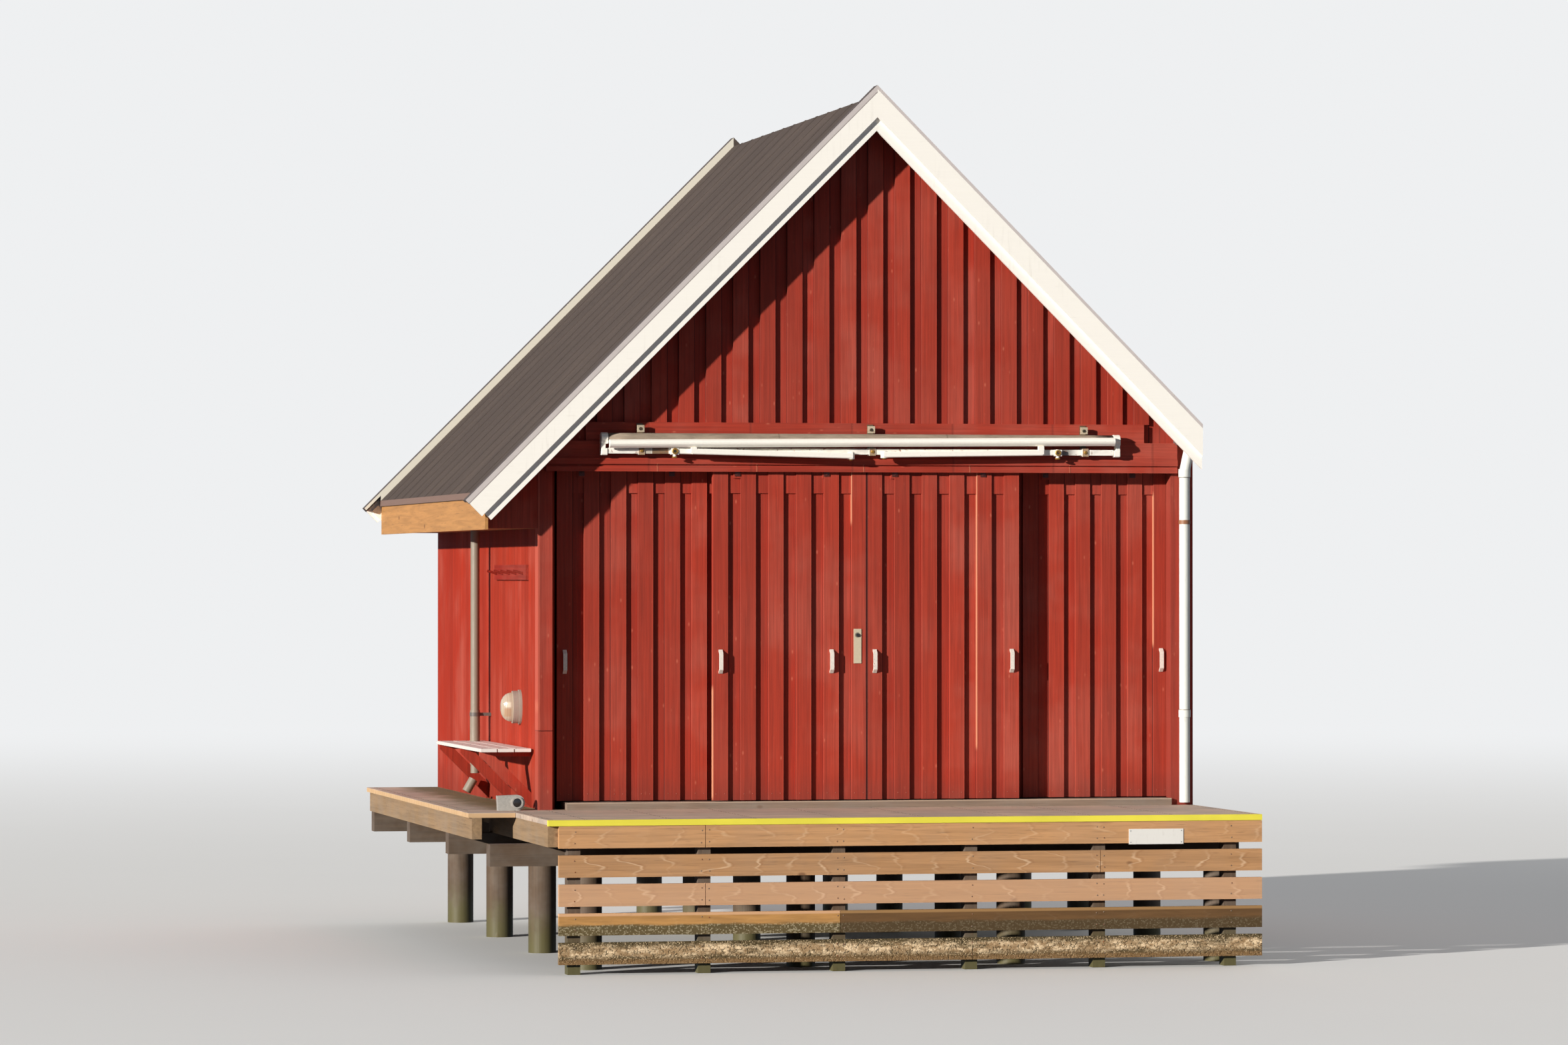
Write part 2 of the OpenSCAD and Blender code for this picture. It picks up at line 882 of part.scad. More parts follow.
piles();
front_posts();
bearers();
joists();
apron_planks();
side_planks();
floor();
fender_boards();
threshold();
wall_left();
wall_right();
wall_back();
wall_front();
corner_post_left();
corner_post_right();
corner_boards();
boards_front();
boards_back();
boards_left();
roof_left();
roof_right();
roof_seams();
ridge_beam();
rafters();
collar_ties();
bargeboards_front();
bargeboards_back();
verge_caps();
eave_fascia();
eave_soffit();
valley_gutter();
downpipe_left();
downpipe_right();
header_boards();
header_beams();
door_rails();
leaf_front_left();
leaf_front_right();
leaf_rear_left();
leaf_rear_right();
hangers_front_left();
hangers_front_right();
hangers_rear_left();
hangers_rear_right();
wheel_front_left_a();
wheel_front_left_b();
wheel_front_right_a();
wheel_front_right_b();
wheel_rear_left_a();
wheel_rear_left_b();
wheel_rear_right_a();
wheel_rear_right_b();
awning_cassette();
awning_arms();
awning_brackets();
bench_seat();
bench_brackets();
wall_lamp();
hook_board();
deck_light();
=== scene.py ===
# Finishes and small fittings for a timber boathouse on its own stretch of quay.
# Laid out as an add-on: sizes and colours are in the property groups, each operator makes or
# paints one group of pieces, and main() calls them in order. Everything is in metres. Places
# are given from the house's own ridge line, front and deck.

import math
import random

import bmesh
import bpy
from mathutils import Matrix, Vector


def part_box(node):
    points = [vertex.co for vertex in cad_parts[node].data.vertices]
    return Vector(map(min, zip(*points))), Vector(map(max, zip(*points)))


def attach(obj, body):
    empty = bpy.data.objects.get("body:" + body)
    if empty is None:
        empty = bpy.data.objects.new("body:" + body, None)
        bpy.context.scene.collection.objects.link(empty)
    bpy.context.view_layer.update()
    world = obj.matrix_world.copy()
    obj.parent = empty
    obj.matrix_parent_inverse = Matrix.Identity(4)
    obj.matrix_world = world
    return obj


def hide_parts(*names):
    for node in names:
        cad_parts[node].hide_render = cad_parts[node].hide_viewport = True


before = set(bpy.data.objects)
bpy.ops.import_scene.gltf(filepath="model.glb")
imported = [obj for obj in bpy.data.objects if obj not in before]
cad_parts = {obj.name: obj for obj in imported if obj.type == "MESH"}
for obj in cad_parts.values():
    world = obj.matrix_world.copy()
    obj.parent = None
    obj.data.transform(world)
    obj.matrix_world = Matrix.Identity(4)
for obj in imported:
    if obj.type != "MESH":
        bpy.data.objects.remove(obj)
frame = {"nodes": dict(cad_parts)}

bl_info = {
    "name": "Boathouse finishes",
    "version": (1, 0, 0),
    "blender": (4, 5, 0),
    "location": "View3D > Sidebar > Boathouse",
    "description": "Paints and fits out a boathouse with sliding doors on a timber quay",
    "category": "Object",
}

# The house's own axes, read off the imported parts: x from the ridge line, y back from the
# front corner boards, z up from the deck.
RIDGE_X = (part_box("ridge_beam")[0].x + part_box("ridge_beam")[1].x) / 2
FRONT_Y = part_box("corner_boards")[0].y
DECK_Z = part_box("apron_planks")[1].z
ORIGIN = {"x": RIDGE_X, "y": FRONT_Y, "z": DECK_Z}
QUAY_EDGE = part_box("apron_planks")[0].y - FRONT_Y
BACK_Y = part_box("boards_back")[1].y - FRONT_Y
LEFT_WALL = -2.4

BOARD_PITCH = 0.197
COVER_WIDTH = 0.11
FELT_STRIPS = 13
VERGE = 0.222
NOSING = 0.045
APRON_PLANKS = 14
APRON_PITCH = 1.7 / APRON_PLANKS
SIDE_PLANKS = 39
FENDER_ROWS = 5
FENDER_PITCH = 0.197
FENDER_FOOT = -0.040 - FENDER_ROWS * FENDER_PITCH
HEADER_JOINTS = (-1.55, -0.83, -0.05, 0.73, 1.47)
AWNING_SHOULDERS = (-1.44, 1.36)
AWNING_CLAMPS = (-1.675, 0.0, 1.570)


def at(x, y, z):
    """A point given from the ridge line, the front and the deck, in the frame."""
    return Vector((RIDGE_X + x, FRONT_Y + y, DECK_Z + z))


def srgb(red, green, blue):
    """A colour as it looks on a screen, 0 to 255, in the linear numbers of a shader."""
    def linear(value):
        share = value / 255
        return share / 12.92 if share <= 0.04045 else ((share + 0.055) / 1.055) ** 2.4
    return (linear(red), linear(green), linear(blue), 1.0)


def scaled(colour, factor):
    """A setting's colour, darker or lighter."""
    return tuple(min(1.0, c * factor) for c in tuple(colour)[:3]) + (1.0,)


def colour_setting(name, description, default):
    return bpy.props.FloatVectorProperty(
        name=name, description=description, default=default, subtype="COLOR", size=4,
        min=0.0, max=1.0)


def number_setting(name, description, default, **limits):
    return bpy.props.FloatProperty(name=name, description=description, default=default,
                                   **{"min": 0.0, **limits})


class PaintSettings(bpy.types.PropertyGroup):
    """Paints on the timber."""
    cover: colour_setting("Cover boards", "Red of the cover boards", srgb(164, 50, 29))
    recess: colour_setting("Recessed boards", "Red of the boards behind", srgb(160, 45, 24))
    corner: colour_setting("Corner boards", "Red of the corner boards", srgb(162, 46, 27))
    primer: colour_setting("Primer", "Worn patches in the red paint", srgb(208, 112, 86))
    trim: colour_setting("Trim", "Cream of the bargeboards", srgb(255, 250, 240))
    nosing: colour_setting("Nosing", "Yellow of the quay's edge", srgb(242, 228, 78))
    wear: number_setting("Wear", "How far the paint has worn off", 0.3, max=1.0,
                         subtype="FACTOR")


class TimberSettings(bpy.types.PropertyGroup):
    """Bare and oiled timber."""
    deck: colour_setting("Deck", "Weathered deck planks", srgb(204, 180, 160))
    fender: colour_setting("Fender boards", "New pine over the quay's posts",
                           srgb(198, 149, 103))
    stain: colour_setting("Eave boards", "Oiled boards of the left eave", srgb(186, 134, 80))
    frame: colour_setting("Framing", "Rafters, beams and ties", srgb(190, 152, 108))
    piles: colour_setting("Piles", "Piles and posts in the water", srgb(92, 74, 58))
    algae: colour_setting("Algae", "Growth near the water", srgb(96, 92, 58))
    shells: colour_setting("Shells", "Barnacles on the lowest boards", srgb(206, 190, 160))


class FittingSettings(bpy.types.PropertyGroup):
    """Roof, pipes, metalwork and the awning."""
    felt: colour_setting("Roof felt", "Mineral felt of the roof", srgb(83, 71, 64))
    verge: colour_setting("Verge", "Edge strip over the bargeboards", srgb(206, 196, 192))
    grey_pipe: colour_setting("Grey pipe", "Pipe at the bench", srgb(138, 127, 111))
    white_pipe: colour_setting("White pipe", "Pipe at the right corner", srgb(232, 234, 226))
    steel: colour_setting("Steel", "Galvanised steel", srgb(236, 228, 216))
    iron: colour_setting("Iron", "Wheels of the doors", srgb(74, 68, 64))
    cloth: colour_setting("Awning cloth", "Cloth on the roll", srgb(158, 142, 124))
    arms: colour_setting("Awning metal", "Arms, bar and end plates", srgb(255, 250, 238))
    brass: colour_setting("Bolts", "Bolts of the awning's arms", srgb(196, 150, 70))
    dome: colour_setting("Lamp glass", "Dome of the wall lamp", srgb(188, 170, 148))
    nail_head: number_setting("Nail heads", "Width of a nail's head", 0.009, unit="LENGTH",
                              subtype="DISTANCE")
    cloth_thickness: number_setting("Cloth thickness", "Thickness of the cloth", 0.0009,
                                    unit="LENGTH", subtype="DISTANCE")


class StageSettings(bpy.types.PropertyGroup):
    """Floor, lamps and camera."""
    floor: colour_setting("Floor", "Colour of the floor", (0.82, 0.82, 0.81, 1.0))
    bounce: colour_setting("Floor's light", "What the floor throws back on the house",
                           (0.14, 0.16, 0.20, 1.0))
    sheen: colour_setting("Sheen", "Sky that shiny surfaces mirror", (0.34, 0.44, 0.60, 1.0))
    backdrop: colour_setting("Backdrop", "Colour behind the house", (0.86, 0.87, 0.88, 1.0))
    sky: number_setting("Room light", "Light from all round", 0.085)
    fill: number_setting("Fill", "Soft light from behind and right", 0.75)
    key: number_setting("Main lamp", "Strength of the main lamp", 5.4)
    softness: number_setting("Softness", "How wide the main lamp is, seen from the house",
                             math.radians(1.2), subtype="ANGLE")
    lens: number_setting("Lens", "Focal length in millimetres", 135.0, min=10.0)


# Node trees


class Net:
    """Adds nodes to a tree, one short call each."""

    def __init__(self, tree):
        self.tree = tree

    def fill(self, node, inputs):
        """Sets a node's inputs, each to a socket's value or to a plain one."""
        for key, value in inputs.items():
            if isinstance(value, bpy.types.NodeSocket):
                self.tree.links.new(value, node.inputs[key])
            else:
                node.inputs[key].default_value = value
        return node

    def put(self, kind, inputs=None, **settings):
        made = self.tree.nodes.new(kind)
        for key, value in settings.items():
            setattr(made, key, value)
        return self.fill(made, inputs or {})

    def group(self, name, **inputs):
        made = self.tree.nodes.new("ShaderNodeGroup")
        made.node_tree = bpy.data.node_groups[name]
        return self.fill(made, inputs).outputs

    def calc(self, operation, *values):
        return self.put("ShaderNodeMath", dict(enumerate(values)),
                        operation=operation).outputs[0]

    def times(self, *values):
        result = values[0]
        for value in values[1:]:
            result = self.calc("MULTIPLY", result, value)
        return result

    def most(self, first, second):
        return self.calc("MAXIMUM", first, second)

    def less(self, first, second):
        return self.calc("SUBTRACT", first, second)

    def line(self, value, slope, start):
        """A value times a slope, plus a start."""
        return self.calc("MULTIPLY_ADD", value, slope, start)

    def vector_calc(self, operation, *values):
        return self.put("ShaderNodeVectorMath", dict(enumerate(values)),
                        operation=operation).outputs

    def ease(self, value, low, high, start=0.0, end=1.0):
        """A smooth step from start, at low, to end, at high."""
        return self.put("ShaderNodeMapRange",
                        {"Value": value, "From Min": low, "From Max": high,
                         "To Min": start, "To Max": end},
                        interpolation_type="SMOOTHSTEP").outputs["Result"]

    def fall(self, value, low, high):
        """A smooth step from 1, at low, down to 0, at high."""
        return self.ease(value, low, high, 1.0, 0.0)

    def band(self, value, low, high, soft):
        """1 between low and high, falling to 0 over a soft edge."""
        return self.times(self.ease(value, low - soft, low + soft),
                          self.fall(value, high - soft, high + soft))

    def mix(self, share, first, second):
        made = self.put("ShaderNodeMix", data_type="RGBA")
        return self.fill(made, {0: share, 6: first, 7: second}).outputs[2]

    def shade(self, colour, factor):
        """The colour made lighter or darker by a factor near 1."""
        if not isinstance(colour, bpy.types.NodeSocket):
            colour = tuple(colour)[:3]
        return self.put("ShaderNodeVectorMath", {0: colour, "Scale": factor},
                        operation="SCALE").outputs[0]

    def noise(self, vector, scale, detail=3.0, rough=0.55, bend=0.0):
        return self.put("ShaderNodeTexNoise",
                        {"Vector": vector, "Scale": scale, "Detail": detail,
                         "Roughness": rough, "Distortion": bend}).outputs["Fac"]

    def stretch(self, vector, factors):
        return self.vector_calc("MULTIPLY", vector, factors)[0]

    def split(self, vector):
        return self.put("ShaderNodeSeparateXYZ", {0: vector}).outputs

    def join(self, x, y, z):
        return self.put("ShaderNodeCombineXYZ", {0: x, 1: y, 2: z}).outputs[0]


FLOAT, VECTOR, COLOUR = "NodeSocketFloat", "NodeSocketVector", "NodeSocketColor"
WHOLE, GEOMETRY, MATERIAL = "NodeSocketInt", "NodeSocketGeometry", "NodeSocketMaterial"


def new_group(name, kind, inputs, outputs):
    """An empty group with named sockets; the net, its inputs and its output node's inputs."""
    tree = bpy.data.node_groups.new(name, kind)
    for label, socket_type, *default in inputs:
        socket = tree.interface.new_socket(name=label, in_out="INPUT", socket_type=socket_type)
        if default:
            socket.default_value = default[0]
    for label, socket_type in outputs:
        tree.interface.new_socket(name=label, in_out="OUTPUT", socket_type=socket_type)
    net = Net(tree)
    return net, net.put("NodeGroupInput").outputs, net.put("NodeGroupOutput").inputs


def shader_group(name, inputs, outputs, build):
    """A shader group that reads a vector; build returns the value of each output."""
    net, given, out = new_group(name, "ShaderNodeTree", [("Vector", VECTOR), *inputs], outputs)
    for (label, _), value in zip(outputs, build(net, given)):
        net.tree.links.new(value, out[label])


def timber_grain(net, given):
    """Grain that runs along z of the vector given: streaks and short dark flecks."""
    x, y, z = net.split(given["Vector"])
    run = net.join(net.times(x, given["Across"]), net.times(y, given["Across"]),
                   net.times(z, given["Along"]))
    fine = net.noise(net.stretch(run, (3.1, 3.1, 4.0)), 1.0, 2.0, 0.5)
    return net.noise(run, 1.0, 4.0, 0.62, 0.5), net.ease(fine, 0.60, 0.74)


def board_count(net, given):
    """Which board a point is on: a random shade for each, and the place across it, 0 to 1.
    The boards are counted along x of the vector."""
    place = net.split(given["Vector"])[0]
    steps = net.calc("DIVIDE", net.less(place, given["Start"]), given["Pitch"])
    which = net.line(net.calc("FLOOR", steps), 3.7, given["Seed"])
    shade = net.put("ShaderNodeTexWhiteNoise", {"W": which}, noise_dimensions="1D")
    return shade.outputs["Value"], net.calc("FRACT", steps)


def worn_paint(net, given):
    """Where paint has scratched and flaked off, more at an edge."""
    fine = net.noise(net.stretch(given["Vector"], (150.0, 150.0, 11.0)), 1.0, 3.0, 0.6)
    broad = net.noise(given["Vector"], 1.7, 3.0, 0.6)
    both = net.calc("ADD", net.times(fine, 0.62), net.times(broad, 0.3))
    level = net.line(given["Amount"], -0.22, 0.74)
    bare = net.ease(net.less(net.line(given["Edge"], 0.10, both), level), 0.0, 0.05)
    return bare, net.ease(broad, 0.38, 0.68)


def ground_dirt(net, given):
    """Splashed dirt that thins out with height."""
    lifted = net.line(net.noise(given["Vector"], 9.0, 4.0, 0.65), 0.22, given["Height"])
    share = net.calc("DIVIDE", net.less(lifted, 0.08), given["Reach"])
    return (net.fall(share, 0.0, 1.0),)


def rust(net, given):
    """Rust blooms, with their own colour."""
    bloom = net.noise(given["Vector"], given["Scale"], 5.0, 0.65, 0.4)
    level = net.line(given["Amount"], -0.5, 0.75)
    grade = net.noise(given["Vector"], net.times(given["Scale"], 3.0), 3.0)
    return (net.ease(net.less(bloom, level), 0.0, 0.12),
            net.mix(grade, srgb(92, 48, 28), srgb(168, 96, 48)))


def speckle(net, given):
    """Small grains of their own shades, as on mineral felt or among shells."""
    cells = net.put("ShaderNodeTexVoronoi", {"Vector": given["Vector"],
                                             "Scale": given["Scale"]}).outputs
    tone = net.put("ShaderNodeSeparateColor", {0: cells["Color"]})
    return (net.ease(net.less(given["Fill"], cells["Distance"]), 0.0, 0.25),
            tone.outputs[0])


def knots(net, given):
    """Knots scattered along boards that run along z of the vector given."""
    cells = net.put("ShaderNodeTexVoronoi",
                    {"Vector": net.stretch(given["Vector"], (1.0, 1.0, 0.55)),
                     "Scale": given["Scale"], "Randomness": 1.0}).outputs
    return (net.fall(cells["Distance"], 0.045, 0.11),)


SHADER_GROUPS = (
    (timber_grain, [("Across", FLOAT, 42.0), ("Along", FLOAT, 1.4)],
     [("Streaks", FLOAT), ("Flecks", FLOAT)]),
    (board_count, [("Start", FLOAT, 0.0), ("Pitch", FLOAT, 0.2), ("Seed", FLOAT, 0.0)],
     [("Shade", FLOAT), ("Across", FLOAT)]),
    (worn_paint, [("Edge", FLOAT, 0.0), ("Amount", FLOAT, 0.3)],
     [("Bare", FLOAT), ("Faded", FLOAT)]),
    (ground_dirt, [("Height", FLOAT, 0.0), ("Reach", FLOAT, 0.3)], [("Dirt", FLOAT)]),
    (rust, [("Amount", FLOAT, 0.3), ("Scale", FLOAT, 30.0)],
     [("Rust", FLOAT), ("Tint", COLOUR)]),
    (speckle, [("Scale", FLOAT, 200.0), ("Fill", FLOAT, 0.5)],
     [("Grain", FLOAT), ("Shade", FLOAT)]),
    (knots, [("Scale", FLOAT, 5.0)], [("Knot", FLOAT)]),
)


class Finish(Net):
    """A material's net. It keeps the colour and the height as they build up. x, y and z are
    the place from the ridge line, the front and the deck; point is the place in the frame."""

    def __init__(self, name, colour=None):
        self.material = bpy.data.materials.new(name)
        self.material.use_nodes = True
        super().__init__(self.material.node_tree)
        self.shader = self.tree.nodes["Principled BSDF"]
        self.point = self.put("ShaderNodeTexCoord").outputs["Object"]
        self.in_frame = dict(zip("xyz", self.split(self.point)))
        self.axis = {key: self.less(value, ORIGIN[key])
                     for key, value in self.in_frame.items()}
        self.x, self.y, self.z = self.axis.values()
        self.colour = colour
        self.height = None

    def run(self, along):
        """The point with its lengthwise direction turned to z."""
        x, y, z = self.in_frame.values()
        if along == "x":
            return self.join(y, z, x)
        if along == "y":
            return self.join(z, x, y)
        return self.point

    def smear(self, factors, detail=3.0, rough=0.55, vector=None):
        """Noise with a scale of its own in each direction."""
        vector = self.point if vector is None else vector
        return self.noise(self.stretch(vector, factors), 1.0, detail, rough)

    def grains(self, scale, fill):
        return self.group("speckle", Vector=self.point, Scale=scale, Fill=fill)

    def bloom(self, amount, scale):
        return self.group("rust", Vector=self.point, Amount=amount, Scale=scale)

    def boards(self, place, start, pitch, seed=0.0):
        """Boards counted along the named axis, from a start given in the house's axes."""
        return self.group("board_count", Vector=self.join(self.in_frame[place], 0.0, 0.0),
                          Start=ORIGIN[place] + start, Pitch=pitch, Seed=seed)

    def lay(self, tint, *masks):
        """Lays a tint over the colour where every mask is 1."""
        self.colour = self.mix(self.times(*masks), self.colour, tint)

    def tone(self, factor):
        """Makes the colour lighter or darker by a factor near 1."""
        self.colour = self.shade(self.colour, factor)

    def close(self, roughness=0.7, relief=0.002, strength=0.6, metallic=0.0, specular=0.35):
        """Joins the colour, and the height as a bump, to the shader."""
        self.fill(self.shader, {"Base Color": self.colour, "Roughness": roughness,
                                "Metallic": metallic, "Specular IOR Level": specular})
        if self.height is not None:
            bump = self.put("ShaderNodeBump", {"Height": self.height, "Strength": strength,
                                               "Distance": relief})
            self.fill(self.shader, {"Normal": bump.outputs["Normal"]})
        return self.material


def dress(material, *nodes):
    """Puts a material on CAD nodes."""
    for name in nodes:
        node = frame["nodes"][name]
        if not node.material_slots:
            node.data.materials.append(material)
        for slot in node.material_slots:
            slot.material = material


# Finishes


RED_COAT = {"roughness": 0.78, "relief": 0.0016, "strength": 0.7}


def red_paint(name, paint, base, place="x", start=0.0, pitch=BOARD_PITCH, seed=0.0,
              behind=None, foot=True, wear=None, along="z", cover=None, bare_edges=(),
              dark_edge=None, fade=None):
    """Matt red paint on upright boards. start is the left edge of a board and cover its share
    of the pitch; behind is the y past which a point is on the recessed boards. bare_edges
    lists the place of an edge and the two heights between which it is bare,
    dark_edge is where two leaves meet and gets a thin line of painted shade, and
    fade the places between which chalk thins out."""
    finish = Finish(name, base)
    across_boards = finish.axis[place]
    boards = finish.boards(place, start, pitch, seed)
    grain = finish.group("timber_grain", Vector=finish.run(along), Across=60.0)
    across = boards["Across"]
    recess = 0.0
    if behind is not None:
        recess = finish.ease(finish.y, behind - 0.002, behind + 0.002)
        finish.lay(paint.recess, recess)
    edge = finish.fall(across, 0.0, 0.035)
    if cover:
        edge = finish.most(edge, finish.band(across, cover - 0.03, cover, 0.01))
    worn = finish.group("worn_paint", Vector=finish.run(along), Edge=edge,
                        Amount=paint.wear if wear is None else wear)
    # chalky patches, then the shade of each board and the grain under the paint
    chalk = finish.mix(0.5, finish.colour, srgb(182, 104, 88))
    dusty = finish.line(boards["Shade"], 0.6, 0.12)
    if fade:
        dusty = finish.times(dusty, finish.ease(across_boards, *fade, 1.5, 0.5))
    finish.lay(chalk, worn["Faded"], dusty)
    finish.tone(finish.times(finish.line(boards["Shade"], 0.22, 0.88),
                             finish.ease(grain["Streaks"], 0.25, 0.75, 0.80, 1.18)))
    finish.lay(srgb(112, 34, 26), grain["Flecks"], 0.22)
    # painted highlight: a lighter red along the boards' edges, not on the recessed boards
    finish.lay(srgb(198, 84, 60), edge, finish.less(1.0, recess), grain["Streaks"], 0.40)
    # small knocks that show the primer
    knocks = finish.group("speckle", Scale=22.0, Fill=0.22,
                          Vector=finish.stretch(finish.run(along), (1.0, 1.0, 0.45)))
    finish.lay(paint.primer, knocks["Grain"], finish.ease(knocks["Shade"], 0.80, 0.86), 0.75)
    finish.lay(paint.primer, worn["Bare"], 0.5)
    finish.height = finish.line(worn["Bare"], -0.5, grain["Streaks"])
    if cover:
        # dirt and painted shade in the corner beside a cover board
        corner = finish.most(finish.band(across, cover, cover + 0.045, 0.012),
                             finish.ease(across, 0.975, 0.995))
        finish.lay(srgb(48, 14, 13), corner, 1.0 if behind is None else recess, 0.8)
    else:
        joint = finish.most(finish.fall(across, 0.0, 0.022), finish.ease(across, 0.978, 1.0))
        finish.lay(srgb(82, 26, 20), joint, 0.35)
    if foot:
        dirt = finish.group("ground_dirt", Vector=finish.point, Reach=0.34,
                            Height=finish.less(finish.z, 0.02))
        finish.lay(srgb(96, 46, 38), dirt["Dirt"], 0.38)
    for edge_at, low, high in bare_edges:
        finish.lay(srgb(218, 148, 114),
                   finish.band(across_boards, edge_at - 0.002, edge_at + 0.004, 0.0012),
                   finish.band(finish.z, low, high, 0.03),
                   finish.ease(grain["Streaks"], 0.22, 0.40, 0.35, 1.0), 0.85)
    # painted shade: a thin dark line down the gap where two leaves meet
    if dark_edge is not None:
        finish.lay(srgb(52, 18, 16), finish.band(across_boards, dark_edge - 0.006,
                                                 dark_edge + 0.006, 0.001), 0.85)
    return finish


def red_material(*args, specular=0.45, **options):
    return red_paint(*args, **options).close(specular=specular, **RED_COAT)


def timber(name, base, along="x", place=None, start=0.0, pitch=0.12, seed=0.0, grey=0.0,
           depth=0.24, across=42.0):
    """Bare timber: grain, knots, a shade for each board and some greying."""
    finish = Finish(name, base)
    run = finish.run(along)
    grain = finish.group("timber_grain", Vector=run, Across=across)
    finish.tone(finish.ease(grain["Streaks"], 0.25, 0.78, 1.0 + depth / 2, 1.0 - depth))
    if place:
        boards = finish.boards(place, start, pitch, seed)
        finish.tone(finish.line(boards["Shade"], 0.26, 0.86))
    finish.lay(srgb(88, 66, 50), grain["Flecks"], 0.35)
    knot = finish.group("knots", Vector=run)["Knot"]
    finish.lay(srgb(104, 66, 40), knot, 0.7)
    finish.height = finish.line(knot, 0.6, grain["Streaks"])
    if grey:
        patches = finish.ease(finish.noise(run, 2.3, 4.0, 0.65), 0.35, 0.7)
        finish.lay(srgb(146, 140, 132), patches, grey)
    return finish


def timber_material(*args, roughness=0.74, **options):
    return timber(*args, **options).close(roughness, 0.0018, 0.8, specular=0.25)


def water_stain(finish, wood):
    """Wet, green timber below a level, with shells at its foot. Returns how wet it is."""
    level, spread = -0.85, 0.30
    height = finish.line(finish.noise(finish.point, 7.0, 4.0, 0.65), spread, finish.z)
    wet = finish.fall(height, level, level + spread)
    finish.lay(wood.algae, wet, 0.82)
    grains = finish.grains(62.0, 0.42)
    finish.lay(wood.shells, grains["Grain"], finish.fall(height, level - 0.30, level - 0.10),
               finish.ease(grains["Shade"], 0.3, 0.5))
    return wet


def white_paint(name, base, along, grime):
    """Pale paint with brush marks, rain streaks and a little grime."""
    finish = Finish(name, base)
    run = finish.run(along)
    brush = finish.smear((160.0, 160.0, 3.0), 3.0, 0.6, run)
    streak = finish.smear((34.0, 34.0, 2.4), 4.0, 0.6)
    broad = finish.noise(finish.point, 1.3)
    crack = finish.ease(finish.smear((210.0, 210.0, 9.0), 2.0, vector=run), 0.70, 0.78)
    finish.tone(finish.line(brush, 0.06, 0.965))
    finish.lay(srgb(172, 160, 140), finish.ease(streak, 0.52, 0.78),
               finish.ease(broad, 0.35, 0.65), grime)
    finish.lay(srgb(150, 134, 112), crack, 0.15)
    finish.height = finish.line(crack, -0.8, brush)
    return finish.close(finish.ease(brush, 0.3, 0.7, 0.46, 0.58), 0.0010, specular=0.4)


def plastic(name, base, rough, dust, rings=()):
    """Moulded plastic with dust, scuffs and rings of another shade: (low, high, tint)."""
    finish = Finish(name, base)
    scuff = finish.smear((60.0, 60.0, 14.0), 4.0, 0.6)
    finish.tone(finish.line(finish.noise(finish.point, 3.1), 0.10, 0.95))
    finish.lay(srgb(150, 138, 120), finish.ease(scuff, 0.55, 0.75), dust)
    for low, high, tint in rings:
        finish.lay(tint, finish.band(finish.z, low, high, 0.002))
    finish.height = scuff
    return finish.close(finish.ease(scuff, 0.3, 0.8, rough, rough + 0.25), 0.0004, 0.4,
                        specular=0.5)


def metal(name, base, rough=0.42, rusted=0.25, scale=26.0, metallic=0.75, spangle=0.16):
    """Galvanised or painted metal with rust blooms."""
    finish = Finish(name, base)
    grains = finish.grains(90.0, 0.8)
    finish.tone(finish.line(grains["Shade"], spangle, 1.0 - spangle * 0.6))
    bloom = finish.bloom(rusted, scale)
    finish.lay(bloom["Tint"], bloom["Rust"])
    shine = finish.times(finish.less(1.0, bloom["Rust"]), metallic) if metallic else 0.0
    finish.height = bloom["Rust"]
    return finish.close(finish.line(bloom["Rust"], 0.35, rough), 0.0005, 0.5, shine, 0.5)


def felt(name, base, laps):
    """Mineral roofing felt: coloured grains, tar along the laps and patches of age."""
    finish = Finish(name, base)
    grains = finish.grains(230.0, 0.7)
    finish.tone(finish.line(grains["Shade"], 0.30, 0.83))
    patch = finish.smear((0.8, 2.2, 0.8), 4.0, 0.6)
    finish.lay(srgb(100, 86, 77), finish.ease(patch, 0.42, 0.7, 0.0, 0.35))
    strips = finish.boards("y", -VERGE, (BACK_Y + 2 * VERGE) / FELT_STRIPS, 4.0)
    finish.tone(finish.line(strips["Shade"], 0.08, 0.96))
    finish.height = grains["Grain"]
    if laps:
        tar = finish.most(finish.band(strips["Across"], 0.074, 0.096, 0.010),
                          finish.band(strips["Across"], 0.908, 0.924, 0.008))
        gap = finish.ease(finish.smear((3.2, 7.0, 3.2)), 0.36, 0.56, 0.2, 1.0)
        finish.lay(srgb(52, 44, 40), tar, gap, 0.32)
        # the roof boards' ends along the eave
        finish.lay(srgb(132, 108, 98), finish.fall(finish.x, -2.8299, -2.8295))
    else:
        worn = finish.smear((5.0, 30.0, 5.0))
        finish.lay(srgb(66, 56, 50), finish.ease(worn, 0.45, 0.65, 0.0, 0.5))
    return finish.close(0.88, 0.0014, 0.8, specular=0.2)


# Meshes


def piece(name, mesh, material, body="building"):
    """A finished object at the origin that rides on a body."""
    made = bpy.data.objects.new(name, mesh)
    bpy.context.scene.collection.objects.link(made)
    made.data.materials.clear()
    made.data.materials.append(material)
    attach(made, body)
    return made


def mesh_of(name, build):
    """A mesh from a bmesh that build fills."""
    shape = bmesh.new()
    build(shape)
    bmesh.ops.recalc_face_normals(shape, faces=shape.faces[:])
    mesh = bpy.data.meshes.new(name)
    shape.to_mesh(mesh)
    shape.free()
    return mesh


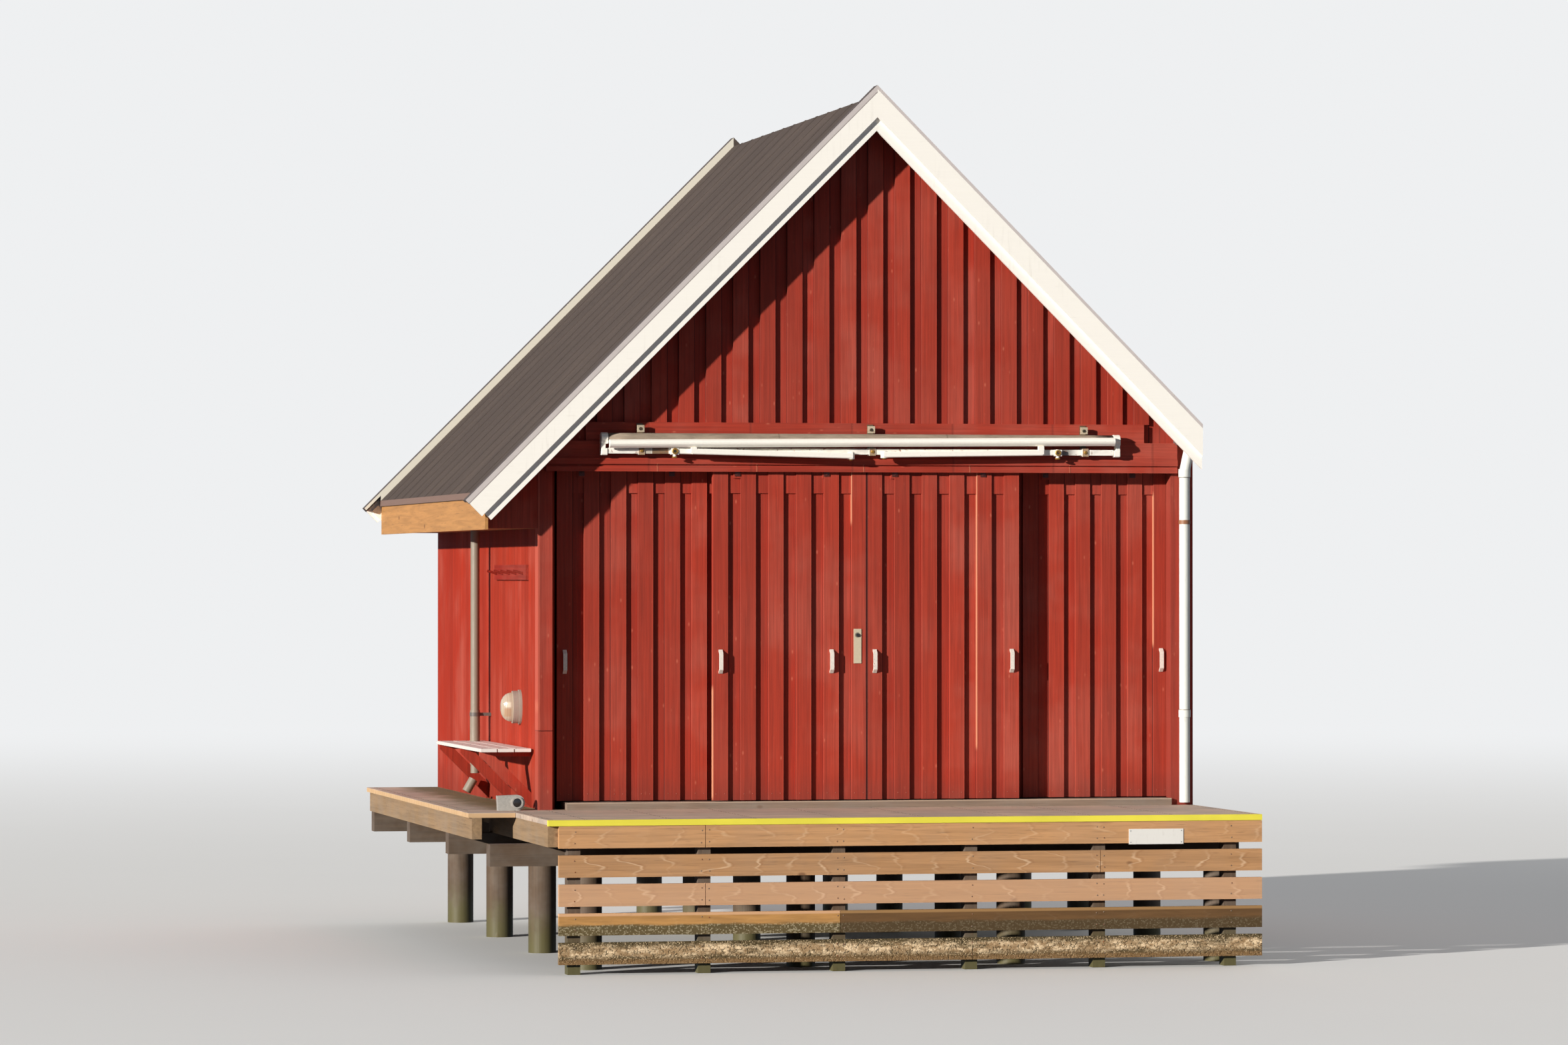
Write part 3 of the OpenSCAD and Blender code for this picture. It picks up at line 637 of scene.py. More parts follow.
def add_prism(shape, outline, low, high, soften):
    """An outline in y and z, drawn from low to high along x, with softened edges."""
    rings = [[shape.verts.new((x, y, z)) for y, z in outline] for x in (low, high)]
    faces = [shape.faces.new(rings[0]), shape.faces.new(rings[1])]
    count = len(outline)
    for i in range(count):
        j = (i + 1) % count
        faces.append(shape.faces.new((rings[0][i], rings[0][j], rings[1][j], rings[1][i])))
    edges = {edge for face in faces for edge in face.edges}
    bmesh.ops.bevel(shape, geom=list(edges), offset=soften, segments=2, profile=0.6,
                    affect="EDGES", clamp_overlap=True)


def add_turned(shape, profile, centre, facing, sides=24):
    """A shape turned about a line: profile is (distance along, radius) pairs."""
    turn = Vector(facing).normalized().to_track_quat("Z", "Y").to_matrix()
    rings = []
    for height, radius in profile:
        if radius < 1e-6:
            rings.append([shape.verts.new(centre + turn @ Vector((0, 0, height)))])
            continue
        rings.append([shape.verts.new(centre + turn @ Vector(
            (radius * math.cos(2 * math.pi * i / sides),
             radius * math.sin(2 * math.pi * i / sides), height))) for i in range(sides)])
    for lower, upper in zip(rings, rings[1:]):
        for i in range(sides):
            j = (i + 1) % sides
            corners = [lower[i % len(lower)], lower[j % len(lower)],
                       upper[j % len(upper)], upper[i % len(upper)]]
            kept = [v for k, v in enumerate(corners) if v not in corners[:k]]
            if len(kept) > 2:
                shape.faces.new(kept)


def bolt_head(radius, height, rim):
    """The profile of a head: straight sides, then a slope in to the rim."""
    return [(0.0, 0.0), (0.0, radius), (height, radius), (height + 0.002, rim),
            (height + 0.002, 0.0)]


def fastener_tree():
    """Geometry nodes: a domed head on every point, facing the way its attribute says."""
    net, given, out = new_group(
        "fastener_heads", "GeometryNodeTree",
        [("Points", GEOMETRY), ("Head Width", FLOAT, 0.009), ("Head Height", FLOAT, 0.002),
         ("Sides", WHOLE, 8), ("Wander", FLOAT, 0.002), ("Seed", WHOLE, 7),
         ("Finish", MATERIAL)],
        [("Geometry", GEOMETRY)])
    half = net.calc("DIVIDE", given["Head Width"], 2.0)
    back = net.times(given["Wander"], -1.0)
    shift = net.put("FunctionNodeRandomValue", {
        0: net.join(back, back, back), 1: net.join(*[given["Wander"]] * 3),
        "Seed": given["Seed"]}, data_type="FLOAT_VECTOR").outputs[0]
    facing = net.put("GeometryNodeInputNamedAttribute", {"Name": "facing"},
                     data_type="FLOAT_VECTOR").outputs[0]
    # the wander stays in the plane that the head lies on
    lean = net.vector_calc("CROSS_PRODUCT", shift, facing)[0]
    moved = net.put("GeometryNodeSetPosition", {"Geometry": given["Points"],
                                                "Offset": lean})
    turn = net.put("FunctionNodeAlignRotationToVector", {"Vector": facing}, axis="Z")
    head = net.put("GeometryNodeMeshCone",
                   {"Vertices": given["Sides"], "Radius Top": net.times(half, 0.6),
                    "Radius Bottom": half, "Depth": given["Head Height"]})
    placed = net.put("GeometryNodeInstanceOnPoints",
                     {"Points": moved.outputs[0], "Instance": head.outputs["Mesh"],
                      "Rotation": turn.outputs[0]})
    real = net.put("GeometryNodeRealizeInstances", {0: placed.outputs[0]})
    dressed = net.put("GeometryNodeSetMaterial", {"Geometry": real.outputs[0],
                                                  "Material": given["Finish"]})
    net.tree.links.new(dressed.outputs[0], out[0])
    return net.tree


def fasteners(name, points, finish, width, height=0.0022, wander=0.002, seed=7,
              body="building"):
    """Nail, screw or bolt heads at (point, facing) pairs, as one piece."""
    tree = bpy.data.node_groups.get("fastener_heads") or fastener_tree()
    mesh = bpy.data.meshes.new(name + "_points")
    mesh.from_pydata([p for p, _ in points], [], [])
    facing = mesh.attributes.new("facing", "FLOAT_VECTOR", "POINT")
    facing.data.foreach_set("vector", [c for _, f in points for c in f])
    base = bpy.data.objects.new(name + "_points", mesh)
    bpy.context.scene.collection.objects.link(base)
    modifier = base.modifiers.new("heads", "NODES")
    modifier.node_group = tree
    values = {"Head Width": width, "Head Height": height, "Sides": 8, "Wander": wander,
              "Seed": seed, "Finish": finish}
    for item in tree.interface.items_tree:
        if item.item_type == "SOCKET" and item.in_out == "INPUT" and item.name in values:
            modifier[item.identifier] = values[item.name]
    bpy.context.view_layer.update()
    evaluated = base.evaluated_get(bpy.context.evaluated_depsgraph_get())
    result = bpy.data.meshes.new_from_object(evaluated)
    result.name = name
    if "facing" in result.attributes:
        result.attributes.remove(result.attributes["facing"])
    bpy.data.objects.remove(base)
    if not result.polygons:
        raise RuntimeError("no heads were made for " + name)
    return piece(name, result, finish, body)


# Operators


class BOATHOUSE_OT_node_groups(bpy.types.Operator):
    """Make the node groups that the finishes share"""
    bl_idname = "boathouse.node_groups"
    bl_label = "Shared node groups"

    def execute(self, context):
        for build, inputs, outputs in SHADER_GROUPS:
            shader_group(build.__name__, inputs, outputs, build)
        return {"FINISHED"}


class BOATHOUSE_OT_walls(bpy.types.Operator):
    """Paint the walls, corner boards, gable boards and the boards over the doors"""
    bl_idname = "boathouse.walls"
    bl_label = "Walls"

    def execute(self, context):
        paint = context.scene.boathouse_paint
        front, side, back = 0.048 - 0.055, 0.132, -0.055
        share = COVER_WIDTH / BOARD_PITCH
        dress(red_material("red_gable_covers", paint, paint.cover, "x", front, seed=3.0,
                           foot=False, fade=(-1.6, 1.4)), "boards_front")
        dress(red_material("red_gable_wall", paint, paint.recess, "x", front, seed=5.0,
                           foot=False, cover=share), "wall_front")
        dress(red_material("red_side_boards", paint, scaled(paint.cover, 0.97), "y", side,
                           0.14453, seed=8.0, wear=0.42, specular=0.15), "boards_left")
        dress(red_material("red_party_walls", paint, paint.recess, "y", side, 0.131,
                           seed=9.0, specular=0.15), "wall_left", "wall_right")
        dress(red_material("red_back_covers", paint, paint.cover, "x", back, seed=11.0),
              "boards_back")
        dress(red_material("red_back_wall", paint, paint.recess, "x", back, seed=12.0,
                           cover=share), "wall_back")
        self.corners(paint)
        self.header(paint)
        dress(red_material("red_brackets", paint, paint.corner, "y", -0.2, 0.5, seed=15.0,
                           wear=0.5, specular=0.2), "bench_brackets")
        dress(red_material("red_hook_board", paint, srgb(140, 38, 26), "z", 1.6, 0.2,
                           seed=16.0, foot=False, along="y", specular=0.15), "hook_board")
        return {"FINISHED"}

    def corners(self, paint):
        """The corner boards; the left one has a pale edge, partly worn paint and partly a
        painted highlight, and a joint low down.
        """
        finish = red_paint("red_corners", paint, paint.corner, "x", LEFT_WALL, 4.635,
                           seed=13.0, wear=0.4, bare_edges=((LEFT_WALL, 0.695, 0.765),))
        # a pale strip along the left edge: worn paint and a painted highlight, stronger above
        # the joint
        reach = finish.line(finish.smear((40.0, 40.0, 5.0), 4.0, 0.6), 0.016,
                            LEFT_WALL + 0.003)
        finish.lay(srgb(192, 86, 66), finish.fall(finish.less(finish.x, reach), -0.001, 0.004),
                   finish.ease(finish.z, 0.55, 0.57, 0.45, 0.85))
        finish.lay(srgb(74, 24, 20), finish.band(finish.z, 0.558, 0.562, 0.0015),
                   finish.fall(finish.x, LEFT_WALL + 0.11, LEFT_WALL + 0.12), 0.7)
        dress(finish.close(specular=0.45, **RED_COAT), "corner_boards", "corner_post_left",
              "corner_post_right")

    def header(self, paint):
        """The boards over the doors: level grain, and butt joints that show bare wood."""
        finish = red_paint("red_header", paint, paint.cover, "x", -2.35, 0.74, seed=14.0,
                           foot=False, along="x")
        low = finish.fall(finish.z, 2.448, 2.452)
        for x in HEADER_JOINTS:
            finish.lay(srgb(208, 120, 88), finish.band(finish.x, x - 0.004, x + 0.004, 0.002),
                       low, 0.5)
            finish.lay(srgb(50, 18, 15), finish.band(finish.x, x + 0.005, x + 0.008, 0.001),
                       low, 0.8)
        dress(finish.close(specular=0.45, **RED_COAT), "header_boards")


class BOATHOUSE_OT_doors(bpy.types.Operator):
    """Paint the sliding doors and finish their hangers, wheels and rails"""
    bl_idname = "boathouse.doors"
    bl_label = "Sliding doors"

    def execute(self, context):
        paint = context.scene.boathouse_paint
        fittings = context.scene.boathouse_fittings
        nails = metal("dull_nails", srgb(172, 96, 78), 0.6, 0.4, 40.0, 0.1)
        # each leaf's cover boards, and its bare edges: place, and heights between
        leaves = (("front_left", 6, ((0.0, 0.07, 0.86), (1.010, 2.03, 2.40))),
                  ("front_right", 6, ((0.808, 0.42, 2.40),)),
                  ("rear_left", 7, ()),
                  ("rear_right", 7, ((1.170, 1.15, 2.25), (0.0, 0.3, 0.9))))
        for number, (leaf, count, bare) in enumerate(leaves):
            low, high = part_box("leaf_" + leaf)
            step = (high.x - low.x - COVER_WIDTH) / (count - 1)
            left = low.x - RIDGE_X
            meeting = {"front_left": high.x - RIDGE_X, "front_right": left}
            dress(red_material(
                "red_leaf_" + leaf, paint, paint.cover, "x", left, step, seed=21.0 + number,
                behind=low.y - FRONT_Y + 0.0125, cover=COVER_WIDTH / step,
                dark_edge=meeting.get(leaf),
                bare_edges=[(left + x, z0, z1) for x, z0, z1 in bare]), "leaf_" + leaf)
            points = [(Vector((low.x + i * step + side, low.y - 0.0004, DECK_Z + 0.105)),
                       (0, -1, 0)) for i in range(count) for side in (0.024, 0.086)]
            fasteners("leaf_" + leaf + "_nails", points, nails, 0.007, seed=number + 3,
                      body="door_" + leaf)
            self.hangers(leaf, fittings, left)
        dress(metal("rail_steel", srgb(120, 112, 104), 0.4, 0.5), "door_rails")
        dress(metal("wheel_iron", fittings.iron, 0.45, 0.4, 60.0),
              *[n for n in frame["nodes"] if n.startswith("wheel_")])
        return {"FINISHED"}

    def hangers(self, leaf, fittings, left):
        """Bright pulls, straps under old red paint, and the lock case with its dark knob."""
        finish = Finish("hangers_" + leaf, fittings.steel)
        spangle = finish.grains(90.0, 0.8)["Shade"]
        finish.tone(finish.line(spangle, 0.14, 0.90))
        strap = finish.ease(finish.z, 2.30, 2.31)
        finish.lay(finish.shade(srgb(92, 44, 34), finish.line(spangle, 0.3, 0.85)), strap)
        bloom = finish.bloom(0.25, 30.0)
        finish.lay(bloom["Tint"], bloom["Rust"])
        if leaf == "front_left":
            away = finish.vector_calc("DISTANCE", finish.point,
                                      at(left + 1.053, -0.005, 1.232))["Value"]
            plate = finish.mix(finish.ease(away, 0.016, 0.021, 0.8, 0.0),
                               srgb(206, 192, 164), srgb(92, 86, 78))
            plate = finish.mix(finish.fall(finish.y, -0.0062, -0.0056), plate,
                               srgb(48, 46, 46))
            plate = finish.shade(plate, finish.line(finish.noise(finish.point, 60.0), 0.2,
                                                    0.9))
            finish.lay(plate, finish.band(finish.x, left + 1.0, left + 1.1, 0.001),
                       finish.fall(strap, 0.0, 1.0))
        finish.height = bloom["Rust"]
        dress(finish.close(finish.line(bloom["Rust"], 0.3, 0.38), 0.0005, 0.5,
                           finish.times(strap, 0.2), 0.5), "hangers_" + leaf)


class BOATHOUSE_OT_roof(bpy.types.Operator):
    """Finish the felt, the bargeboards, the eave and the timbers under the roof"""
    bl_idname = "boathouse.roof"
    bl_label = "Roof"

    def execute(self, context):
        paint = context.scene.boathouse_paint
        wood = context.scene.boathouse_timber
        fittings = context.scene.boathouse_fittings
        dress(felt("roof_felt", fittings.felt, True), "roof_left", "roof_right")
        dress(felt("felt_laps", scaled(fittings.felt, 0.97), False), "roof_seams")
        self.verge(paint, fittings)
        dress(white_paint("cream_bargeboards", paint.trim, "x", 0.22), "bargeboards_front",
              "bargeboards_back")
        self.eave(paint, wood)
        dress(timber_material("ridge_timber", wood.frame, "y"), "ridge_beam")
        dress(timber_material("rafter_timber", wood.frame, "z", "y", 0.085, 0.63), "rafters")
        dress(timber_material("tie_timber", scaled(wood.frame, 1.05), "x", "y", 0.085, 0.63),
              "collar_ties")
        dress(timber_material("beam_timber", scaled(wood.frame, 0.9), "x"), "header_beams")
        dress(metal("zinc_gutter", srgb(150, 152, 150), 0.45, 0.12, 8.0), "valley_gutter")
        return {"FINISHED"}

    def verge(self, paint, fittings):
        """The verge strip: pale on its face, felt on its top."""
        finish = Finish("verge_strip")
        grains = finish.grains(230.0, 0.7)
        top = finish.shade(fittings.felt, finish.line(grains["Shade"], 0.3, 0.82))
        finish.colour = finish.shade(fittings.verge, finish.line(
            finish.smear((9.0, 9.0, 9.0), 4.0), 0.16, 0.9))
        # a thin line of painted shade where the strip ends on the bargeboard
        plumb = finish.calc("ADD", finish.z, finish.calc("ABSOLUTE", finish.x))
        finish.lay(srgb(146, 136, 132), finish.band(plumb, 5.088, 5.099, 0.002))
        finish.lay(paint.trim, finish.fall(plumb, 5.114, 5.117),
                   finish.ease(finish.x, 0.0, 0.002))
        finish.lay(top, finish.less(1.0, finish.most(
            finish.fall(finish.y, -0.2685, -0.2675),
            finish.ease(finish.y, BACK_Y + 0.2675, BACK_Y + 0.2685))))
        # the rear verge's inner side is painted cream over the left slope only; over the right
        # slope it keeps the dark felt colour as painted shade
        inner = finish.times(finish.band(finish.y, BACK_Y + 0.1495, BACK_Y + 0.1505, 0.0005),
                             finish.fall(finish.x, -0.002, 0.0))
        finish.lay(srgb(226, 220, 204), inner)
        finish.height = finish.times(grains["Grain"], finish.less(1.0, inner))
        dress(finish.close(0.7, 0.0008, 0.5), "verge_caps")

    def eave(self, paint, wood):
        """The oiled fascia, and the eave box: oiled below, its ends painted like the gables."""
        dress(timber_material("oiled_fascia", wood.stain, "y", across=30.0, roughness=0.6),
              "eave_fascia")
        finish = red_paint("eave_box", paint, paint.corner, "x", -2.8, 0.4, seed=17.0,
                           foot=False)
        grain = finish.group("timber_grain", Vector=finish.run("y"), Across=30.0)
        red = finish.colour
        finish.colour = finish.shade(scaled(wood.stain, 0.92), finish.ease(
            grain["Streaks"], 0.25, 0.78, 1.12, 0.76))
        low, high = (corner.y - FRONT_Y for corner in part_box("eave_soffit"))
        finish.lay(red, finish.most(finish.fall(finish.y, low + 0.0005, low + 0.001),
                                    finish.ease(finish.y, high - 0.001, high - 0.0005)))
        dress(finish.close(0.7, 0.0016, 0.7, specular=0.25), "eave_soffit")


class BOATHOUSE_OT_quay(bpy.types.Operator):
    """Finish the deck, its yellow nosing, the fender boards, posts and piles"""
    bl_idname = "boathouse.quay"
    bl_label = "Quay"

    def execute(self, context):
        paint = context.scene.boathouse_paint
        wood = context.scene.boathouse_timber
        self.apron(paint, wood)
        self.side_deck(wood)
        self.fenders(wood)
        dress(timber_material("house_floor", srgb(158, 128, 98), "x", "y", 0.0, 0.13824,
                              seed=6.0), "floor")
        finish = timber("worn_threshold", srgb(140, 120, 104), "x", grey=0.35)
        finish.lay(srgb(206, 184, 160), finish.ease(finish.z, 0.040, 0.047),
                   finish.fall(finish.y, -0.029, -0.024), 0.6)
        dress(finish.close(0.76, 0.0018, 0.8, specular=0.25), "threshold")
        for name, along, base, node in (
                ("wet_joists", "y", srgb(150, 122, 90), "joists"),
                ("wet_bearers", "x", wood.piles, "bearers"),
                ("wet_piles", "z", wood.piles, "piles"),
                ("wet_posts", "z", wood.piles, "front_posts")):
            finish = timber(name, base, along, grey=0.25)
            wet = water_stain(finish, wood)
            dress(finish.close(finish.ease(wet, 0.0, 1.0, 0.75, 0.5), 0.002, 0.8,
                               specular=0.3), node)
        self.deck_nails(context.scene.boathouse_fittings.nail_head)
        self.fender_bolts()
        return {"FINISHED"}

    def apron(self, paint, wood):
        """Weathered planks in front of the house, and the quay's yellow edge."""
        start = QUAY_EDGE + NOSING
        finish = timber("deck_apron", wood.deck, "x", "y", start, APRON_PITCH, seed=31.0,
                        grey=0.45)
        worn = finish.group("worn_paint", Vector=finish.run("x"), Edge=0.0, Amount=0.45)
        yellow = finish.shade(paint.nosing, finish.line(worn["Faded"], 0.12, 0.92))
        finish.lay(yellow, finish.fall(finish.y, start - 0.001, start + 0.001),
                   finish.line(worn["Bare"], -0.75, 1.0))
        dress(finish.close(0.76, 0.002, 0.8, specular=0.25), "apron_planks")

    def side_deck(self, wood):
        """Planks beside the house, with a lit edge, and moss by the wall and the bench."""
        finish = timber("deck_side", wood.deck, "x", "y", 0.0, BACK_Y / SIDE_PLANKS,
                        seed=31.0, grey=0.45)
        finish.lay(srgb(208, 168, 118), finish.fall(finish.z, -0.004, -0.002), 0.75)
        damp = finish.line(finish.noise(finish.point, 5.0, 5.0, 0.7), -0.55,
                           finish.less(LEFT_WALL, finish.x))
        moss = finish.times(finish.fall(damp, -0.12, 0.16),
                            finish.ease(finish.y, -0.02, 0.12))
        tuft = finish.noise(finish.point, 90.0)
        finish.lay(finish.mix(tuft, srgb(62, 58, 30), srgb(124, 116, 62)), moss, 0.85)
        finish.height = finish.line(finish.times(moss, tuft), 1.5, finish.height)
        dress(finish.close(0.76, 0.002, 0.8, specular=0.25), "side_planks")

    def fenders(self, wood):
        """New pine above, with the light figures of its grain; algae and shells below."""
        finish = timber("fender_pine", wood.fender, "x", "z", FENDER_FOOT, FENDER_PITCH,
                        seed=41.0, grey=0.12, depth=0.20)
        z = finish.z
        self.pine_figures(finish)
        finish.lay(srgb(222, 176, 142), finish.band(z, -0.60, -0.42, 0.01), 0.45)
        rough = finish.smear((3.0, 3.0, 30.0), 4.0, 0.65)
        right = finish.ease(finish.x, -0.601, -0.599)
        # the fourth row: tan, with a pale lip, and mould below
        tan = finish.mix(right, srgb(187, 138, 79), srgb(98, 70, 40))
        tan = finish.shade(tan, finish.ease(rough, 0.3, 0.7, 0.82, 1.14))
        rim = finish.mix(right, srgb(226, 178, 138), srgb(172, 132, 84))
        tan = finish.mix(finish.times(finish.ease(z, -0.656, -0.648), 0.75), tan, rim)
        finish.lay(tan, finish.fall(z, -0.625, -0.622), 0.92)
        grit = finish.grains(98.0, 0.70)
        mould = finish.mix(finish.times(grit["Grain"], finish.ease(grit["Shade"], 0.45, 0.85),
                                        0.7), srgb(82, 75, 50), srgb(176, 166, 136))
        mould = finish.mix(finish.times(right, 0.7), mould, srgb(78, 58, 36))
        finish.lay(mould, finish.fall(finish.line(rough, 0.05, z), -0.70, -0.675), 0.9)
        self.shells(finish, rough, finish.fall(z, -0.825, -0.822))
        dress(finish.close(0.76, 0.002, 0.8, specular=0.25), "fender_boards")

    def pine_figures(self, finish):
        """Pale lines that bend across each board, with a brown shadow beside them."""
        rows = finish.boards("z", FENDER_FOOT, FENDER_PITCH, 2.0)
        off = finish.calc("ABSOLUTE", finish.less(rows["Across"], 0.60))
        lean = finish.line(off, 0.11, finish.times(finish.smear((1.6, 1.6, 9.0)), 0.60))
        bold = finish.ease(finish.smear((2.6, 2.6, 6.7), 1.0), 0.36, 0.60, 0.2, 1.0)
        phase = finish.calc("FRACT", finish.calc("DIVIDE", finish.calc(
            "ADD", finish.in_frame["x"], finish.line(rows["Shade"], 0.4, lean)), 0.27))
        upper = finish.ease(finish.z, -0.22, -0.20, 1.0, 0.45)
        finish.lay(srgb(244, 212, 176), finish.band(phase, 0.12, 0.16, 0.06), upper,
                   finish.ease(off, 0.05, 0.40, 1.0, 0.15), bold, 0.85)
        finish.lay(srgb(146, 96, 62), finish.band(phase, 0.22, 0.27, 0.05), upper, bold, 0.38)

    def shells(self, finish, rough, lowest):
        """Small grey shells along the top of the lowest row, a thick pale bed across it."""
        below = finish.less(-0.830, finish.z)
        fine = finish.grains(150.0, 0.7)
        crust = finish.grains(74.0, 0.85)
        shell = finish.mix(finish.times(fine["Grain"], finish.ease(fine["Shade"], 0.62, 0.85)),
                           srgb(84, 70, 44), srgb(200, 176, 138))
        clump = finish.times(
            finish.ease(finish.smear((13.0, 13.0, 24.0), 3.0, 0.6), 0.40, 0.60, 0.25, 1.0),
            finish.ease(crust["Shade"], 0.1, 0.7, 0.45, 1.0))
        bed = finish.smear((3.4, 3.4, 16.0), 5.0, 0.72)
        thick = finish.times(finish.band(finish.line(bed, 0.10, below), 0.080, 0.150, 0.022),
                             finish.ease(bed, 0.34, 0.52, 0.25, 1.0),
                             finish.ease(crust["Grain"], 0.1, 0.8, 0.35, 0.95))
        shell = finish.mix(thick, shell, finish.mix(clump, srgb(144, 110, 70),
                                                    srgb(252, 222, 180)))
        foot = finish.ease(finish.line(rough, 0.06, below), 0.125, 0.165)
        shell = finish.mix(finish.times(foot, 0.7), shell, srgb(142, 108, 70))
        finish.lay(shell, lowest)
        finish.height = finish.line(finish.times(crust["Grain"], lowest), 2.5, finish.height)

    def deck_nails(self, width):
        """Two nails in every plank over each joist."""
        apron = [(x, QUAY_EDGE + NOSING + (i + part) * APRON_PITCH)
                 for i in range(APRON_PLANKS) for part in (0.28, 0.72)
                 for x in (-2.585, -2.35, -1.77, -1.18, -0.59, 0.0, 0.59, 1.18, 1.77, 2.35)]
        beside = [(x, (i + part) * BACK_Y / SIDE_PLANKS)
                  for i in range(SIDE_PLANKS) for part in (0.28, 0.72)
                  for x in (-2.90, -2.46)]
        fasteners("deck_nails", [(at(x, y, 0.0002), (0, 0, 1)) for x, y in apron + beside],
                  metal("deck_nails", srgb(104, 98, 92), 0.5, 0.5, 40.0, 0.5), width, 0.0016,
                  wander=0.004, seed=11)

    def fender_bolts(self):
        """Two bolts in every fender board over each post, and beside each joint."""
        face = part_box("fender_boards")[0].y - FRONT_Y - 0.0006
        points = [(at(x, face, -0.042 - row * FENDER_PITCH - down), (0, -1, 0))
                  for row in range(FENDER_ROWS)
                  for x in (-2.44, -1.565, -1.515, -0.62, -0.575, 0.33, 1.215, 1.265, 2.18)
                  for down in (0.035, 0.115)]
        fasteners("fender_bolts", points,
                  metal("fender_bolt_heads", srgb(138, 118, 98), 0.6, 0.5, 40.0, 0.2), 0.010,
                  0.002, wander=0.004, seed=12)


class BOATHOUSE_OT_pipes(bpy.types.Operator):
    """Finish the two rainwater pipes"""
    bl_idname = "boathouse.pipes"
    bl_label = "Rainwater pipes"

    def execute(self, context):
        fittings = context.scene.boathouse_fittings
        joint = srgb(150, 140, 128)
        dress(plastic("grey_pipe", fittings.grey_pipe, 0.42, 0.3,
                      [(0.616, 0.644, srgb(96, 90, 84))]), "downpipe_left")
        dress(plastic("white_pipe", fittings.white_pipe, 0.36, 0.22,
                      [(2.028, 2.058, srgb(150, 104, 74)), (0.686, 0.692, joint),
                       (2.363, 2.369, joint)]), "downpipe_right")
        return {"FINISHED"}


class BOATHOUSE_OT_awning(bpy.types.Operator):
    """Wind the awning's cloth on its roll and make its front bar, end plates and bolts"""
    bl_idname = "boathouse.awning"
    bl_label = "Awning"

    # outlines and places in y and z
    BAR = [(-0.124, 2.589), (-0.146, 2.589), (-0.163, 2.603), (-0.170, 2.615),
           (-0.170, 2.617), (-0.1685, 2.618), (-0.1685, 2.620), (-0.170, 2.621),
           (-0.170, 2.623), (-0.163, 2.637), (-0.148, 2.648), (-0.128, 2.648),
           (-0.118, 2.636), (-0.118, 2.620), (-0.128, 2.620), (-0.128, 2.600),
           (-0.124, 2.600)]
    # an end plate: the cheek round the roll, a narrow leg and the torsion bar's foot
    CHEEK = [(-0.042, 2.588), (-0.108, 2.588), (-0.108, 2.600), (-0.117, 2.618),
             (-0.118, 2.638), (-0.108, 2.658), (-0.090, 2.669), (-0.064, 2.669),
             (-0.042, 2.656)]
    LEG = [(-0.044, 2.548), (-0.104, 2.548), (-0.104, 2.594), (-0.044, 2.594)]
    FOOT = [(-0.042, 2.508), (-0.100, 2.508), (-0.106, 2.514), (-0.106, 2.552),
            (-0.100, 2.558), (-0.042, 2.558)]
    ROLL = (-0.076, 2.629)
    PLATE_PINS = ((*ROLL, 0.016), (-0.080, 2.540, 0.010), (-0.074, 2.582, 0.007))
    # the front bar, and with it the cloth's free edge, hangs lower at its left end
    DROP = math.tan(math.radians(0.466))

    def execute(self, context):
        fittings = context.scene.boathouse_fittings
        low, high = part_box("awning_cassette")
        left, right = low.x + 0.05, high.x - 0.05
        cloth = self.wind_cloth(fittings, left + 0.004, right - 0.004)
        paint = metal("awning_paint", fittings.arms, 0.42, 0.08, 18.0, 0.0, 0.04)

        def in_frame(outline):
            return [(FRONT_Y + y, DECK_Z + z) for y, z in outline]

        def build_bar(shape):
            add_prism(shape, in_frame(self.BAR), left + 0.002, right - 0.002, 0.0012)
            for corner in shape.verts:
                corner.co.z -= (right - 0.002 - corner.co.x) * self.DROP

        def build_plates(shape):
            for outline, width in ((self.CHEEK, 0.049), (self.LEG, 0.032),
                                   (self.FOOT, 0.046)):
                add_prism(shape, in_frame(outline), low.x, low.x + width, 0.004)
                add_prism(shape, in_frame(outline), high.x - width, high.x, 0.004)
            for x, face in ((low.x, -1), (high.x, 1)):
                for y, z, radius in self.PLATE_PINS:
                    add_turned(shape, [(-0.004, radius), (0.0, radius), (0.0, 0.0)],
                               at(x - RIDGE_X, y, z), (face, 0, 0))

        front = piece("awning_front_bar", mesh_of("awning_front_bar", build_bar), paint)
        plates = piece("awning_end_plates", mesh_of("awning_end_plates", build_plates), paint)
        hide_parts("awning_cassette")
        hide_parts("awning_cassette")
        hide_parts("awning_cassette")
        dress(metal("awning_arm_paint", fittings.arms, 0.42, 0.14, 24.0, 0.0, 0.04),
              "awning_arms")
        self.brackets(fittings)
        self.bolts(fittings)
        return {"FINISHED"}

    def bolts(self, fittings):
        """Gilt bolts on the arms and clamps; dark ones in the rings and the wall brackets."""
        hexagon = bolt_head(0.012, 0.005, 0.009)

        def build_bolts(shape):
            for x in AWNING_SHOULDERS:
                add_turned(shape, [(0.0, 0.0), (0.0, 0.017), (0.004, 0.019), (0.010, 0.019),
                                   (0.012, 0.0)], at(x, -0.119, 2.490), (0, 0, 1), 6)
                add_turned(shape, [(0.0, 0.0), (0.0, 0.021), (0.005, 0.022), (0.008, 0.019),
                                   (0.008, 0.012), (0.003, 0.011), (0.003, 0.0)],
                           at(x, -0.135, 2.537), (0, -1, 0))
            for x in AWNING_CLAMPS:
                add_turned(shape, hexagon, at(x, -0.106, 2.540), (0, -1, 0), 6)
            for x, z in ((-0.164, 2.478), (0.078, 2.487)):
                add_turned(shape, bolt_head(0.012, 0.006, 0.009), at(x, -0.135, z), (0, 0, 1),
                           6)

        def build_heads(shape):
            for x in AWNING_SHOULDERS:
                add_turned(shape, [(0.0, 0.0), (0.0, 0.0105), (0.001, 0.0105), (0.001, 0.0)],
                           at(x, -0.138, 2.537), (0, -1, 0))
            for x in AWNING_CLAMPS:
                add_turned(shape, hexagon, at(x - 0.004, -0.076, 2.697), (0, -1, 0), 6)

